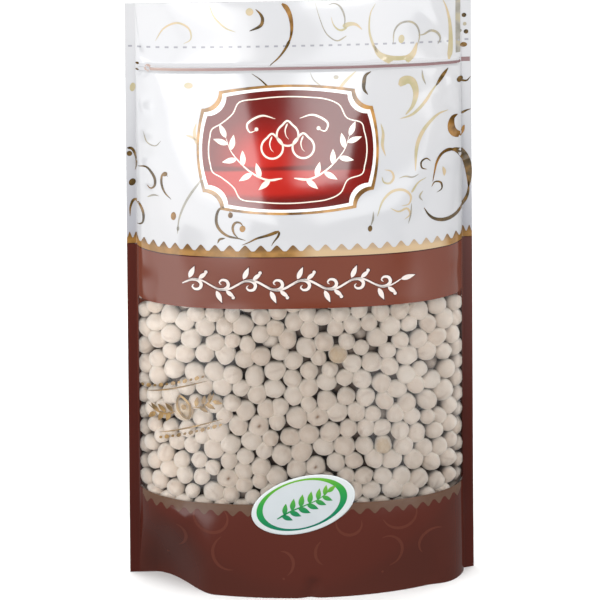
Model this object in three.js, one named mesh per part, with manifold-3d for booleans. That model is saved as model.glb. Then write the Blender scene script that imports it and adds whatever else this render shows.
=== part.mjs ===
// A filled stand-up pouch of white roasted chickpeas, with a clear window and an oval sticker.
// Millimetres, +Z up. The front faces -Y, and the origin is on the ground under the pouch's middle.
import * as THREE from 'three';
import { mergeVertices } from 'three/addons/utils/BufferGeometryUtils.js';
import Module from 'manifold-3d';

const wasm = await Module();
wasm.setup();

// ---- Driving dimensions -------------------------------------------------------------------

const pouchWidth = 160;
const pouchHeight = 284;
const sealWidth = 4.7; // flat weld of the two films along each side
const sealThickness = 0.8;

// Half the pouch's depth against height: rim of the opened gusset, foot and head of the window,
// top of the brown band, fill line, zipper, top edge.
const depthStations = [[0, 36.3], [45, 32.5], [140, 24], [165, 21.7], [186, 19.2], [253, 4.8], [284, 0.5]];
const baseRoundness = 2; // power of the section's curve: an ellipse at the ground,
const bodyRoundness = 2.8; // squarer above, so that the film leaves the welds steeply
const baseHeight = 40; // where the one has become the other

// The left bottom corner is welded flat into an ear, and the front swings out beside it.
const ear = { outer: 68, inner: 42, height: 42 };
// The right bottom corner's weld bows forward.
const bow = { centre: 71, halfWidth: 15, reach: 4, height: 42 };

const zipper = { height: 253, halfWidth: 1.8, crown: 0.8, ridge: 0.8 };
const clearWindow = { bottom: 45, top: 140 };
const pocketDepth = 13; // how far the modelled layer of chickpeas reaches behind the window
const pocketLip = 2; // the pocket stops this far in front of the welds
const gap = 0.3; // between pieces that touch

const chickpea = { radius: 4.75, sides: 6, rings: 4, squash: 0.06 };
const packing = { pitch: 9.75, rowPitch: 8.5, scatter: 1.3, sink: 2.2, overlap: 0.6 };
const coreDepth = 4.4; // from the film to the bulk behind the outer chickpeas
const coreHalf = 74.4;

const sticker = { halfLength: 24.2, halfHeight: 14.4, tilt: 14.5, x: 0.8, z: 46, thickness: 0.45 };

const sectionSteps = 21; // facets across the film
const pocketSteps = { across: 13, up: 4 };
const heightSteps = [[0, 45, 7], [45, 140, 8], [140, 165, 2], [165, 249, 8]]; // [from, to, facets]
const topRows = { from: 258, steps: 3 };

// ---- The film's surface -------------------------------------------------------------------

const inflatedHalf = pouchWidth / 2 - sealWidth;

const ease = (from, to, at) => THREE.MathUtils.smoothstep(at, from, to);
const mix = THREE.MathUtils.lerp;

/** A smooth curve through the stations [at, value], with the mean of the slopes beside each. */
function throughStations(stations, at) {
  const last = stations.length - 1;
  const slope = (i) => (stations[i + 1][1] - stations[i][1]) / (stations[i + 1][0] - stations[i][0]);
  const tangent = (i) => (slope(Math.max(i - 1, 0)) + slope(Math.min(i, last - 1))) / 2;
  let i = 0;
  while (i < last - 1 && at > stations[i + 1][0]) i += 1;
  const [from, start] = stations[i];
  const [to, end] = stations[i + 1];
  const span = to - from;
  const t = (at - from) / span;
  const startWeight = (1 + 2 * t) * (1 - t) ** 2;
  const endWeight = t * t * (3 - 2 * t);
  const bend = t * (1 - t) ** 2 * tangent(i) - t * t * (1 - t) * tangent(i + 1);
  return start * startWeight + end * endWeight + span * bend;
}

/** How much of the depth the section has at x: 1 in the middle and 0 at the welds. */
function bulge(x, z) {
  const across = Math.min(Math.abs(x) / inflatedHalf, 1);
  const roundness = mix(baseRoundness, bodyRoundness, ease(0, baseHeight, z));
  const pinched = ease(-ear.outer, -ear.inner, x);
  const freed = ease(0, ear.height, z);
  return Math.sqrt(1 - across ** roundness) * mix(pinched, 1, freed);
}

/** The ridge that the press-to-close zipper raises in the film. */
function zipperRidge(x, z) {
  const off = Math.abs(z - zipper.height);
  const profile = 1 - ease(zipper.halfWidth - zipper.crown, zipper.halfWidth, off);
  const ends = 1 - ease(inflatedHalf - 1, inflatedHalf, Math.abs(x));
  return zipper.ridge * profile * ends;
}

/** Half the pouch's thickness at x and z. */
function halfDepth(x, z) {
  const weld = sealThickness / 2;
  return weld + (throughStations(depthStations, z) - weld) * bulge(x, z) + zipperRidge(x, z);
}

/** How far the middle between the two films stands in front of the welds' plane. */
function middle(x, z) {
  const off = THREE.MathUtils.clamp((x - bow.centre) / bow.halfWidth, -1, 1);
  return bow.reach * Math.cos(off * Math.PI / 2) ** 2 * (1 - ease(0, bow.height, z));
}

const frontOf = (x, z) => -middle(x, z) - halfDepth(x, z);
const backOf = (x, z) => -middle(x, z) + halfDepth(x, z);

/** The unit vector from the front film into the pouch. */
function inward(x, z) {
  const step = 0.05;
  const slopeX = (halfDepth(x + step, z) - halfDepth(x - step, z)) / (2 * step);
  const slopeZ = (halfDepth(x, z + step) - halfDepth(x, z - step)) / (2 * step);
  return new THREE.Vector3(slopeX, 1, slopeZ).normalize();
}

// ---- Making and joining solids ------------------------------------------------------------

const range = (from, to, steps) => Array.from({ length: steps + 1 }, (_, i) => mix(from, to, i / steps));

/** A closed solid between two sheets, each given as a point for every pair of a u and a v. */
function slab(us, vs, front, back) {
  const positions = [];
  const index = [];
  const [columns, rows] = [us.length, vs.length];
  const sheet = columns * rows;
  const quad = (a, b, c, d) => index.push(a, b, c, a, c, d);
  for (const side of [front, back]) {
    for (const v of vs) {
      for (const u of us) positions.push(...side(u, v));
    }
  }
  const at = (i, j) => j * columns + i;
  for (let j = 0; j < rows - 1; j += 1) {
    for (let i = 0; i < columns - 1; i += 1) {
      quad(at(i, j), at(i + 1, j), at(i + 1, j + 1), at(i, j + 1));
      quad(sheet + at(i + 1, j), sheet + at(i, j), sheet + at(i, j + 1), sheet + at(i + 1, j + 1));
    }
    quad(sheet + at(0, j), at(0, j), at(0, j + 1), sheet + at(0, j + 1));
    const edge = columns - 1;
    quad(at(edge, j), sheet + at(edge, j), sheet + at(edge, j + 1), at(edge, j + 1));
  }
  for (let i = 0; i < columns - 1; i += 1) {
    quad(sheet + at(i, 0), sheet + at(i + 1, 0), at(i + 1, 0), at(i, 0));
    const edge = rows - 1;
    quad(at(i, edge), at(i + 1, edge), sheet + at(i + 1, edge), sheet + at(i, edge));
  }
  const geometry = new THREE.BufferGeometry();
  geometry.setAttribute('position', new THREE.Float32BufferAttribute(positions, 3));
  geometry.setIndex(index);
  return geometry;
}

/** A geometry as a solid that can be joined and cut. */
function solid(geometry) {
  const bare = geometry.clone();
  bare.deleteAttribute('normal');
  bare.deleteAttribute('uv');
  const merged = mergeVertices(bare);
  return new wasm.Manifold(new wasm.Mesh({
    numProp: 3,
    vertProperties: new Float32Array(merged.attributes.position.array),
    triVerts: new Uint32Array(merged.index.array),
  }));
}

/** A solid turned back into a geometry. */
function geometryOf(manifold) {
  const mesh = manifold.getMesh();
  const geometry = new THREE.BufferGeometry();
  geometry.setAttribute('position', new THREE.BufferAttribute(mesh.vertProperties, 3));
  geometry.setIndex(new THREE.BufferAttribute(mesh.triVerts, 1));
  return geometry;
}

/** Joins solids two by two, so that no join meets more faces than it has to. */
function joinAll(solids) {
  let level = solids;
  while (level.length > 1) {
    const next = [];
    for (let i = 0; i < level.length; i += 2) {
      next.push(i + 1 < level.length ? level[i].add(level[i + 1]) : level[i]);
    }
    level = next;
  }
  return level[0];
}

/** A repeatable source of numbers from 0 to 1. */
function seededRandom(seed) {
  let state = seed;
  return () => {
    state = (state * 1664525 + 1013904223) % 4294967296;
    return state / 4294967296;
  };
}

// ---- The pouch ----------------------------------------------------------------------------

/** Columns across the film, closer together where it curves down to the welds. */
function filmColumns(steps) {
  const bulging = range(-Math.PI / 2, Math.PI / 2, steps).map((a) => inflatedHalf * Math.sin(a));
  return [-pouchWidth / 2, ...bulging, pouchWidth / 2];
}

/** Facet rows up the film, with rows of their own for the zipper's ridge. */
function filmRows() {
  const plain = heightSteps.flatMap(([from, to, steps]) => range(from, to, steps).slice(0, -1));
  const underZipper = heightSteps.at(-1)[1];
  const { height, halfWidth, crown } = zipper;
  const offsets = [-halfWidth, crown - halfWidth, halfWidth - crown, halfWidth];
  const top = range(topRows.from, pouchHeight, topRows.steps);
  return [...plain, underZipper, ...offsets.map((off) => height + off), ...top];
}

/** The filled pouch as one body, from the gusset's flat base to the top edge. */
function pouchBody() {
  const front = (x, z) => [x, frontOf(x, z), z];
  const back = (x, z) => [x, backOf(x, z), z];
  return slab(filmColumns(sectionSteps), filmRows(), front, back);
}

const pocketFloor = (x, z) => Math.max(halfDepth(x, z) - pocketDepth, pocketLip);

/** The space behind the window, drawn in by inset above, below and at the back. */
function pocket(inset) {
  const columns = filmColumns(pocketSteps.across);
  const rows = range(clearWindow.bottom + inset, clearWindow.top - inset, pocketSteps.up);
  const outside = -2 * depthStations[0][1];
  const front = (x, z) => [x, outside, z];
  const back = (x, z) => [x, -pocketFloor(x, z) - inset, z];
  return solid(slab(columns, rows, front, back));
}

function makePouch() {
  return geometryOf(solid(pouchBody()).subtract(pocket(0)));
}

// ---- The chickpeas ------------------------------------------------------------------------

/** One chickpea with its pole towards the film, a little wider or flatter than a ball. */
function makeChickpea(centre, outward, random) {
  const ball = new THREE.SphereGeometry(chickpea.radius, chickpea.sides, chickpea.rings);
  const uneven = () => 1 + chickpea.squash * (2 * random() - 1);
  ball.rotateY(random() * Math.PI);
  ball.scale(uneven(), 1, uneven());
  ball.applyQuaternion(new THREE.Quaternion().setFromUnitVectors(new THREE.Vector3(0, 1, 0), outward));
  ball.translate(centre.x, centre.y, centre.z);
  return solid(ball);
}

/** The x of every place in one row, a pitch of film length apart from one weld to the other. */
function placesAcross(z, start) {
  const stride = 0.1;
  const places = [];
  let walked = 0;
  for (let x = -inflatedHalf; x < inflatedHalf - stride; x += stride) {
    walked += Math.hypot(stride, halfDepth(x + stride, z) - halfDepth(x, z));
    if (walked > start + places.length * packing.pitch) places.push(x);
  }
  return places;
}

/** The layer of chickpeas that lies against the window, each sunk in by a seeded amount. */
function outerLayer() {
  const random = seededRandom(41);
  const jitter = () => packing.scatter * (2 * random() - 1);
  const { bottom, top } = clearWindow;
  const rows = Math.floor((top - bottom) / packing.rowPitch) + 1;
  const peas = [];
  for (let row = 0; row < rows; row += 1) {
    const rowHeight = bottom + packing.overlap + row * packing.rowPitch;
    const start = chickpea.radius + (row % 2) * packing.pitch / 2;
    for (const place of placesAcross(rowHeight, start)) {
      const x = THREE.MathUtils.clamp(place + jitter(), -inflatedHalf + 0.1, inflatedHalf - 0.1);
      const z = rowHeight + jitter();
      const into = inward(x, z);
      const depth = chickpea.radius + gap / 2 + packing.sink * random();
      const centre = new THREE.Vector3(x, frontOf(x, z), z).addScaledVector(into, depth);
      peas.push(makeChickpea(centre, into.negate(), random));
    }
  }
  return peas;
}

/** The bulk behind the outer layer, up to about the middle of its chickpeas. */
function heapCore() {
  const columns = range(-coreHalf, coreHalf, 14);
  const rows = range(clearWindow.bottom, clearWindow.top, 5);
  const front = (x, z) => [x, -Math.max(halfDepth(x, z) - coreDepth, pocketLip + 1), z];
  const back = (x, z) => [x, 0, z];
  return solid(slab(columns, rows, front, back));
}

function makeChickpeas() {
  const heap = joinAll([heapCore(), ...outerLayer()]);
  return geometryOf(heap.intersect(pocket(gap)));
}

// ---- The sticker --------------------------------------------------------------------------

/** An oval of paper, curved to the film and tilted up to the right. */
function makeSticker() {
  const tilt = THREE.MathUtils.degToRad(sticker.tilt);
  const place = (u, v, lift) => {
    const along = sticker.halfLength * u * Math.sqrt(1 - v * v / 2);
    const up = sticker.halfHeight * v * Math.sqrt(1 - u * u / 2);
    const x = sticker.x + along * Math.cos(tilt) - up * Math.sin(tilt);
    const z = sticker.z + along * Math.sin(tilt) + up * Math.cos(tilt);
    return [x, frontOf(x, z) - lift, z];
  };
  const front = (u, v) => place(u, v, gap + sticker.thickness);
  const back = (u, v) => place(u, v, gap);
  return slab(range(-1, 1, 10), range(-1, 1, 8), front, back);
}

// ---- The whole ----------------------------------------------------------------------------

/** A named mesh in its material. */
function piece(name, geometry, look) {
  const mesh = new THREE.Mesh(geometry, new THREE.MeshStandardMaterial(look));
  mesh.name = name;
  return mesh;
}

const bag = new THREE.Group();
bag.add(piece('pouch', makePouch(), { color: 0xe2dfdd, roughness: 0.3, metalness: 0 }));
bag.add(piece('chickpeas', makeChickpeas(), { color: 0xd6c8b9, roughness: 0.75, metalness: 0 }));
bag.add(piece('sticker', makeSticker(), { color: 0xe8eeea, roughness: 0.35, metalness: 0 }));

export default bag;
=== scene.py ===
"""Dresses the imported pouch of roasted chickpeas: printed film, clear window, contents and sticker.

All sizes are in millimetres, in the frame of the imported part: +Z up, the front facing -Y.
"""
import functools
import logging
import math
from dataclasses import dataclass, field
from enum import Enum

import bpy
import numpy as np
from mathutils import Matrix, Vector


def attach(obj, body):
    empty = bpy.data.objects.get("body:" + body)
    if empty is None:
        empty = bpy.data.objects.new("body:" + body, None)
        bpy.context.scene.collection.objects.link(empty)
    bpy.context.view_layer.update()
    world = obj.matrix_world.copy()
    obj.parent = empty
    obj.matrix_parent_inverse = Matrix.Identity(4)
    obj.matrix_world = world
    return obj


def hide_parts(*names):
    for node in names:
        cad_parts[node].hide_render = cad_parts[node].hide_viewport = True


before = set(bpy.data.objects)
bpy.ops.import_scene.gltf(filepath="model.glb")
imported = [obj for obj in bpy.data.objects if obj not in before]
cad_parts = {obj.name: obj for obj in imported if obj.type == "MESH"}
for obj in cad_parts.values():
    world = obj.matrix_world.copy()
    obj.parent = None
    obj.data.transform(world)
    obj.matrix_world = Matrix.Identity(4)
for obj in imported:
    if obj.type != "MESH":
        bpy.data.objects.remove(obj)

MM = 0.001
BODY = "root"
# The laminate's outer film: its index of refraction, and the size and depth of its waves.
FILM_IOR, WAVE_SIZE, WAVE_DEPTH = 1.6, 30.0, 0.05
# The sticker's coated paper: its index of refraction and its roughness.
PAPER_IOR, PAPER_ROUGHNESS = 1.45, 0.22
# The angle in degrees over which the edges of the welded films stay sharp.
WELD_ANGLE = 40.0
# How many stretches of a smooth line lie between two of its points.
CURVE_STEPS = 24
# The length of a step along a printed line.
LINE_STEP = 0.8
log = logging.getLogger("pouch")

Array = np.ndarray
Material, Piece, Socket = bpy.types.Material, bpy.types.Object, bpy.types.NodeSocket
Point, Three, Four = tuple[float, float], tuple[float, float, float], tuple[float, float, float, float]
Points, Colour = tuple[Point, ...], Four


class Side(Enum):
    """One of the pouch's two films, with the way that it faces along Y."""

    FRONT = -1
    BACK = 1


class Swell(Enum):
    """Where a drawn line is widest."""

    MIDDLE = "middle"
    START = "start"
    END = "end"
    EVEN = "even"


def ink(code: str) -> Colour:
    """Turns a printer's colour code into the colour that a shader wants.

    Args:
        code: Six hexadecimal digits of red, green and blue.

    Returns:
        The linear colour, with an alpha of 1.
    """
    shares = [int(code[i : i + 2], 16) / 255 for i in (0, 2, 4)]
    # The usual curve from screen values to light.
    linear = [c / 12.92 if c <= 0.04045 else ((c + 0.055) / 1.055) ** 2.4 for c in shares]
    return (*linear, 1.0)


def ease(low: float, high: float, at: Array) -> Array:
    """Rises smoothly from 0 at low to 1 at high."""
    share = np.clip((np.asarray(at, float) - low) / (high - low), 0.0, 1.0)
    return share * share * (3 - 2 * share)


def spans(*stretches: tuple[float, float, int]) -> Array:
    """Joins stretches, each a start, an end and a number of even steps, into one row."""
    rows = [np.linspace(low, high, steps + 1)[:-1] for low, high, steps in stretches]
    return np.concatenate([*rows, [stretches[-1][1]]])


# ---- The form of the film ----


@dataclass(frozen=True)
class Crease:
    """A soft fold in the film, along a straight line across it."""

    x: float
    z: float
    angle: float
    length: float
    width: float
    height: float

    def rise(self, x: Array, z: Array) -> Array:
        """How far the fold lifts the film.

        Args:
            x: Places across.
            z: Places up.

        Returns:
            The lift at each place, negative in a valley.
        """
        turn = math.radians(self.angle)
        along = (x - self.x) * math.cos(turn) + (z - self.z) * math.sin(turn)
        across = (z - self.z) * math.cos(turn) - (x - self.x) * math.sin(turn)
        return self.height * np.exp(-((across / self.width) ** 2) - (2 * along / self.length) ** 4)


@dataclass(frozen=True)
class Film:
    """The pouch's two films as heights over the plane of its welds."""

    half_width: float = 80.0
    height: float = 284.0
    seal: float = 4.7  # The width of a side weld.
    weld: float = 0.25  # Half the thickness of the welded films.
    # Heights, and half the depth at each.
    depths: Points = (
        (0, 36.3), (45, 32.5), (140, 24), (165, 21.7), (186, 19.2), (238, 9.0), (253, 5.5), (284, 0.5),
    )
    # How square the section is at the ground and above it, and where the one has given way.
    base_roundness: float = 2.0
    body_roundness: float = 2.8
    base_height: float = 40.0
    # The outer and inner ends of the welded ear at the left foot, and its height.
    ear: Three = (68.0, 42.0, 42.0)
    # The right corner's bow: its middle, half width, depth and height.
    bow: Four = (71.0, 15.0, 4.0, 42.0)
    # How far the top edge bows, and where the bow starts and ends.
    top_bow: Three = (1.3, 225.0, 284.0)
    # The zipper's height, half its width, and how far it stands out.
    zipper: Three = (253.0, 1.8, 0.8)
    # Its rails: how far from its middle they lie, their width, and the web between them.
    rails: Three = (0.9, 0.55, 0.35)
    ridge_share: float = 0.75  # How much of the zipper shows through the film.
    # The welds' puckers: their height, their place inside the weld, and their reach.
    pucker: Three = (0.22, 3.0, 6.0)
    # The broad dents' height, and how far inside the welds they reach it.
    dent: Point = (0.16, 30.0)
    # How much flatter the window's film is, and the heights that this holds between.
    window_calm: tuple[float, float, float, float, float] = (0.75, 40.0, 48.0, 136.0, 144.0)
    # How much flatter the head is, and the heights and places inside the welds where this sets in.
    head_calm: tuple[float, float, float, float, float] = (0.85, 172.0, 190.0, 14.0, 26.0)
    weld_fade: float = 3.5  # Where all relief has its full height.
    front_creases: tuple[Crease, ...] = (
        Crease(-66, 150, 80, 40, 3.0, 0.3),
        Crease(-72, 256, -38, 9, 1.2, 0.3),
        Crease(-72, 250, 38, 9, 1.2, 0.3),
        Crease(64, 268, 118, 30, 3.0, 0.3),
        Crease(69, 236, 100, 40, 2.5, -0.3),
        Crease(-69, 225, 84, 46, 2.6, 0.15),
        Crease(-60, 24, 76, 56, 5.0, 0.8),
        Crease(-50, 10, 60, 26, 3.0, -0.4),
        Crease(60, 20, 112, 46, 5.0, 0.5),
        Crease(3, 3, 78, 12, 3.0, -1.6),
        Crease(70, 155, 96, 36, 2.8, 0.3),
    )

    @property
    def inflated(self) -> float:
        """Half the width between the welds."""
        return self.half_width - self.seal

    def depth(self, z: Array) -> Array:
        """Half the depth in the middle, as a smooth curve through the stations.

        Args:
            z: Heights.

        Returns:
            Half the depth at each height.
        """
        heights, values = np.array(self.depths, float).T
        slopes = np.diff(values) / np.diff(heights)
        tangents = np.concatenate(([slopes[0]], (slopes[1:] + slopes[:-1]) / 2, [slopes[-1]]))
        i = np.clip(np.searchsorted(heights, z) - 1, 0, len(slopes) - 1)
        span = heights[i + 1] - heights[i]
        t = (z - heights[i]) / span
        bend = t * (1 - t) ** 2 * tangents[i] - t * t * (1 - t) * tangents[i + 1]
        ends = values[i] * (1 + 2 * t) * (1 - t) ** 2 + values[i + 1] * t * t * (3 - 2 * t)
        return ends + span * bend

    def bulge(self, x: Array, z: Array) -> Array:
        """The share of the depth that the section has, from 1 in the middle to 0 at the welds.

        Args:
            x: Places across.
            z: Places up.

        Returns:
            The share at each place.
        """
        across = np.minimum(np.abs(x) / self.inflated, 1.0)
        blend = ease(0, self.base_height, z)
        roundness = self.base_roundness + (self.body_roundness - self.base_roundness) * blend
        outer, inner, reach = self.ear
        pinched = ease(-outer, -inner, x)
        freed = ease(0, reach, z)
        return np.sqrt(np.maximum(1 - across**roundness, 0)) * (pinched + (1 - pinched) * freed)

    def relief(self, side: Side, x: Array, z: Array) -> Array:
        """Puckers, dents and folds, which fade out at the welds.

        Args:
            side: The film.
            x: Places across.
            z: Places up.

        Returns:
            How far each place stands out.
        """
        inside = self.inflated - np.abs(x)
        phase = 1.0 if side is Side.FRONT else 1.7
        # The waves' lengths are unlike, so that no pattern repeats on the film.
        pucker = np.sin(z / 2.3 + 1.9 * np.sin(z / 17.0 + phase)) * np.sin(z / 31.0 + 2 * phase + x * 0.02)
        height, place, reach = self.pucker
        pucker = height * pucker * np.exp(-((inside - place) / reach) ** 2)
        broad = np.sin(x / 19.0 + phase) * np.sin(z / 27.0 + 2.1 * phase)
        height, reach = self.dent
        broad = height * (broad + 0.6 * np.sin(x / 11.0 + z / 23.0 + phase)) * ease(0, reach, inside)
        calm, low, foot, head, high = self.window_calm
        window = 1 - calm * ease(low, foot, z) * (1 - ease(head, high, z))
        calm, low, high, outer, inner = self.head_calm
        upper = 1 - calm * ease(low, high, z) * ease(outer, inner, inside)
        folds = np.zeros_like(pucker)
        if side is Side.FRONT:
            for crease in self.front_creases:
                folds = folds + crease.rise(x, z)
        return ((pucker + broad) * window * upper + folds) * ease(0.0, self.weld_fade, inside)

    def ridge(self, x: Array, z: Array) -> Array:
        """The ridge of the press-to-close zipper.

        Args:
            x: Places across.
            z: Places up.

        Returns:
            How far each place is raised.
        """
        at, half, rise = self.zipper
        place, width, web = self.rails
        away = np.abs(z - at)
        rails = np.exp(-((away - place) / width) ** 2) + web * (1 - ease(half, half + 0.6, away))
        return rise * self.ridge_share * rails * ease(0.2, 2.0, self.inflated - np.abs(x))

    def section(self, side: Side, x: Array, z: Array) -> Array:
        """The film's y over the welds' plane.

        Args:
            side: The film.
            x: Places across.
            z: Places up.

        Returns:
            The y of each place.
        """
        x, z = np.broadcast_arrays(np.asarray(x, float), np.asarray(z, float))
        lift = (self.depth(z) - self.weld) * self.bulge(x, z)
        half = self.weld + lift + self.ridge(x, z) + self.relief(side, x, z) * np.minimum(lift / 2, 1)
        centre, reach, out, top = self.bow
        off = np.clip((x - centre) / reach, -1, 1)
        middle = out * np.cos(off * math.pi / 2) ** 2 * (1 - ease(0, top, z))
        arch, start, end = self.top_bow
        middle = middle + arch * (1 - (x / self.half_width) ** 2) * ease(start, end, z)
        return side.value * half - middle

    def front(self, x: Array, z: Array) -> Array:
        """The front film's y over the welds' plane."""
        return self.section(Side.FRONT, x, z)

    def place(self, side: Side, u: Array, v: Array, lift: float = 0.0) -> Array:
        """Puts places on a film, or at a lift off it.

        Args:
            side: The film.
            u: Places across it, to the right as it is looked at.
            v: Places up it.
            lift: How far off the film, outwards.

        Returns:
            An array of points.
        """
        x, z = np.broadcast_arrays(np.asarray(u, float) * -side.value, np.asarray(v, float))
        points = np.stack([x, self.section(side, x, z), z], -1)
        return points + lift * self.normal(side, x, z) if lift else points

    def normal(self, side: Side, x: Array, z: Array) -> Array:
        """The unit vectors out of a film.

        Args:
            side: The film.
            x: Places across.
            z: Places up.

        Returns:
            One vector for each place.
        """
        step = 0.05  # Half the distance over which a slope is read.
        slope_x = (self.section(side, x + step, z) - self.section(side, x - step, z)) / (2 * step)
        slope_z = (self.section(side, x, z + step) - self.section(side, x, z - step)) / (2 * step)
        out = np.stack([slope_x, -np.ones_like(slope_x), slope_z], -1) * -side.value
        return out / np.linalg.norm(out, axis=-1, keepdims=True)


# ---- Materials ----


class Board:
    """A material's node tree, with short ways to add nodes and join them."""

    def __init__(self, name: str) -> None:
        """Starts a material with one Principled surface.

        Args:
            name: The material's name.
        """
        self.material = bpy.data.materials.new(name)
        self.material.use_nodes = True
        self.tree = self.material.node_tree
        self.surface = self.tree.nodes["Principled BSDF"]

    def node(self, kind: str, inputs: dict | None = None, **settings: object) -> bpy.types.Node:
        """Adds a node.

        Args:
            kind: The node's type.
            inputs: What goes into its sockets: a value, or another node's output.
            **settings: The node's own settings.

        Returns:
            The node.
        """
        made = self.tree.nodes.new(kind)
        for name, value in settings.items():
            setattr(made, name, value)
        for name, value in (inputs or {}).items():
            self.feed(made, name, value)
        return made

    def feed(self, node: bpy.types.Node, socket: str | int, value: object) -> None:
        """Joins a socket to another node's output, or sets it.

        Args:
            node: The node with the socket.
            socket: The socket's name or number.
            value: The output to join, or the value to set.
        """
        if isinstance(value, Socket):
            self.tree.links.new(value, node.inputs[socket])
        else:
            node.inputs[socket].default_value = value

    def finish(self, **inputs: object) -> Material:
        """Feeds the surface's sockets, named with _ for each space.

        Args:
            **inputs: What goes into the Principled surface.

        Returns:
            The material.
        """
        for name, value in inputs.items():
            self.feed(self.surface, name.replace("_", " ").title().replace("Ior", "IOR"), value)
        return self.material

    def where(self) -> Socket:
        """The place on the piece, in millimetres.

        Returns:
            The socket of the scaled coordinates.
        """
        coordinates = self.node("ShaderNodeTexCoord")
        inputs = {0: coordinates.outputs["Object"], "Scale": 1 / MM}
        return self.node("ShaderNodeVectorMath", inputs, operation="SCALE").outputs[0]

    def axes(self) -> tuple[Socket, ...]:
        """The place's x, y and z in millimetres."""
        return tuple(self.node("ShaderNodeSeparateXYZ", {"Vector": self.where()}).outputs)

    def slide(self, value: object, low: float, high: float, start: float = 0.0, end: float = 1.0) -> object:
        """Runs smoothly from a start to an end while a value runs from low to high."""
        inputs = {"Value": value, "From Min": low, "From Max": high, "To Min": start, "To Max": end}
        return self.node("ShaderNodeMapRange", inputs, interpolation_type="SMOOTHSTEP").outputs[0]

    def mark(self, name: str) -> Socket:
        """The value that the mesh carries under a name."""
        return self.node("ShaderNodeAttribute", attribute_name=name).outputs["Fac"]

    def noise(self, size: float, detail: float) -> Socket:
        """Soft noise round 0.5, with features of about a size in millimetres."""
        inputs = {"Vector": self.where(), "Scale": 1 / size, "Detail": detail}
        return self.node("ShaderNodeTexNoise", inputs).outputs["Fac"]

    def ramp(self, value: object, *stops: tuple[float, Colour]) -> Socket:
        """A run of colours.

        Args:
            value: What picks the colour, from 0 to 1.
            *stops: Each colour's place and itself.

        Returns:
            The colour.
        """
        made = self.node("ShaderNodeValToRGB", {"Fac": value})
        marks = made.color_ramp.elements
        while len(marks) < len(stops):
            marks.new(0.5)
        for mark, (place, colour) in zip(marks, stops):
            mark.position, mark.color = place, colour
        return made.outputs["Color"]

    def mix(self, share: object, first: object, second: object) -> Socket:
        """Mixes two colours, by the share of the second."""
        return self.node("ShaderNodeMix", {0: share, 6: first, 7: second}, data_type="RGBA").outputs[2]

    def reckon(self, how: str, *numbers: object) -> Socket:
        """Does one sum with up to three numbers."""
        return self.node("ShaderNodeMath", dict(enumerate(numbers)), operation=how).outputs[0]

    def product(self, *numbers: object) -> Socket:
        """Multiplies two numbers or more."""
        return functools.reduce(functools.partial(self.reckon, "MULTIPLY"), numbers)

    def mask(self, value: object, low: float, high: float) -> Socket:
        """A straight rise from 0 at low to 1 at high."""
        return self.ramp(value, (low, (0, 0, 0, 1)), (high, (1, 1, 1, 1)))

    def bump(self, height: object, depth: float) -> Socket:
        """A normal with bumps of a depth in millimetres."""
        inputs = {"Height": height, "Strength": 1.0, "Distance": depth * MM}
        return self.node("ShaderNodeBump", inputs).outputs["Normal"]

    def laminate(self, colour: object, roughness: float) -> Material:
        """Finishes the material as ink under the laminate's film, with its fine waves."""
        waves = self.bump(self.noise(WAVE_SIZE, 1.0), WAVE_DEPTH)
        return self.finish(base_color=colour, roughness=roughness, ior=FILM_IOR, normal=waves)


@dataclass(frozen=True)
class Print:
    """Ink under the laminate's glossy outer film."""

    name: str
    colour: str
    mottle: str
    patch: float = 30.0
    roughness: float = 0.06
    ior: float = FILM_IOR
    # Painted shade: the darker colour towards the foot, and the heights between which it gives way.
    lower: str | None = None
    lower_shade_span: Point = (50.0, 140.0)
    # Painted shade at the side welds, partly their own darker tone: its colour, the places between which it
    # sets in, and the heights where it gives way.
    weld_shade: str | None = None
    weld_span: Point = (74.9, 76.1)
    weld_fade: Point = (150.0, 265.0)
    # Painted contact shade over the foot's weld, partly its own duller tone: the colour, the curve and height
    # of its upper edge, how it fades there, and its share.
    foot_weld_shade: str | None = None
    foot_weld_shade_arch: Point = (0.0075, 4.0)
    foot_weld_shade_span: Point = (-5.0, 7.0)
    foot_weld_shade_share: float = 0.5

    def build(self) -> Material:
        """Makes the material: ink that varies a little, under film with fine waves.

        Returns:
            The material, with painted shade towards the foot, at the side welds and over the foot's weld
            where those are given.
        """
        board = Board(self.name)
        colour = board.mix(board.noise(self.patch, 2.0), ink(self.colour), ink(self.mottle))
        x, _, z = board.axes()
        # Painted shade: the ink darkens towards the foot.
        if self.lower:
            colour = board.mix(board.slide(z, *self.lower_shade_span, 1.0, 0.0), colour, ink(self.lower))
        # Painted contact shade near the ground, partly the foot weld's duller tone.
        if self.foot_weld_shade:
            curve, height = self.foot_weld_shade_arch
            square = board.reckon("POWER", board.reckon("ABSOLUTE", x), 2.0)
            edge = board.reckon("ADD", board.product(square, curve), height)
            share = board.slide(board.reckon("SUBTRACT", z, edge), *self.foot_weld_shade_span, self.foot_weld_shade_share, 0.0)
            colour = board.mix(share, colour, ink(self.foot_weld_shade))
        # Painted shade along the side welds, partly their own darker tone.
        if self.weld_shade:
            share = board.slide(board.reckon("ABSOLUTE", x), *self.weld_span)
            share = board.product(share, board.slide(z, *self.weld_fade, 1.0, 0.0))
            colour = board.mix(share, colour, ink(self.weld_shade))
        grain = board.product(board.noise(0.5, 2.0), 0.004)
        waves = board.bump(board.reckon("ADD", board.noise(WAVE_SIZE, 1.0), grain), WAVE_DEPTH)
        return board.finish(base_color=colour, roughness=self.roughness, ior=self.ior, normal=waves)


@dataclass(frozen=True)
class GoldInk:
    """Bronze-gold ink, darker where it lies thin, under the same film."""

    name: str
    dark: str
    middle: str
    light: str
    patch: float
    roughness: float = 0.07

    def build(self) -> Material:
        """Makes the material, with the gold's tone wandering along the lines.

        Returns:
            The material.
        """
        board = Board(self.name)
        tones = (0.36, ink(self.dark)), (0.5, ink(self.middle)), (0.62, ink(self.light))
        return board.laminate(board.ramp(board.noise(self.patch, 2.0), *tones), self.roughness)


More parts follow.
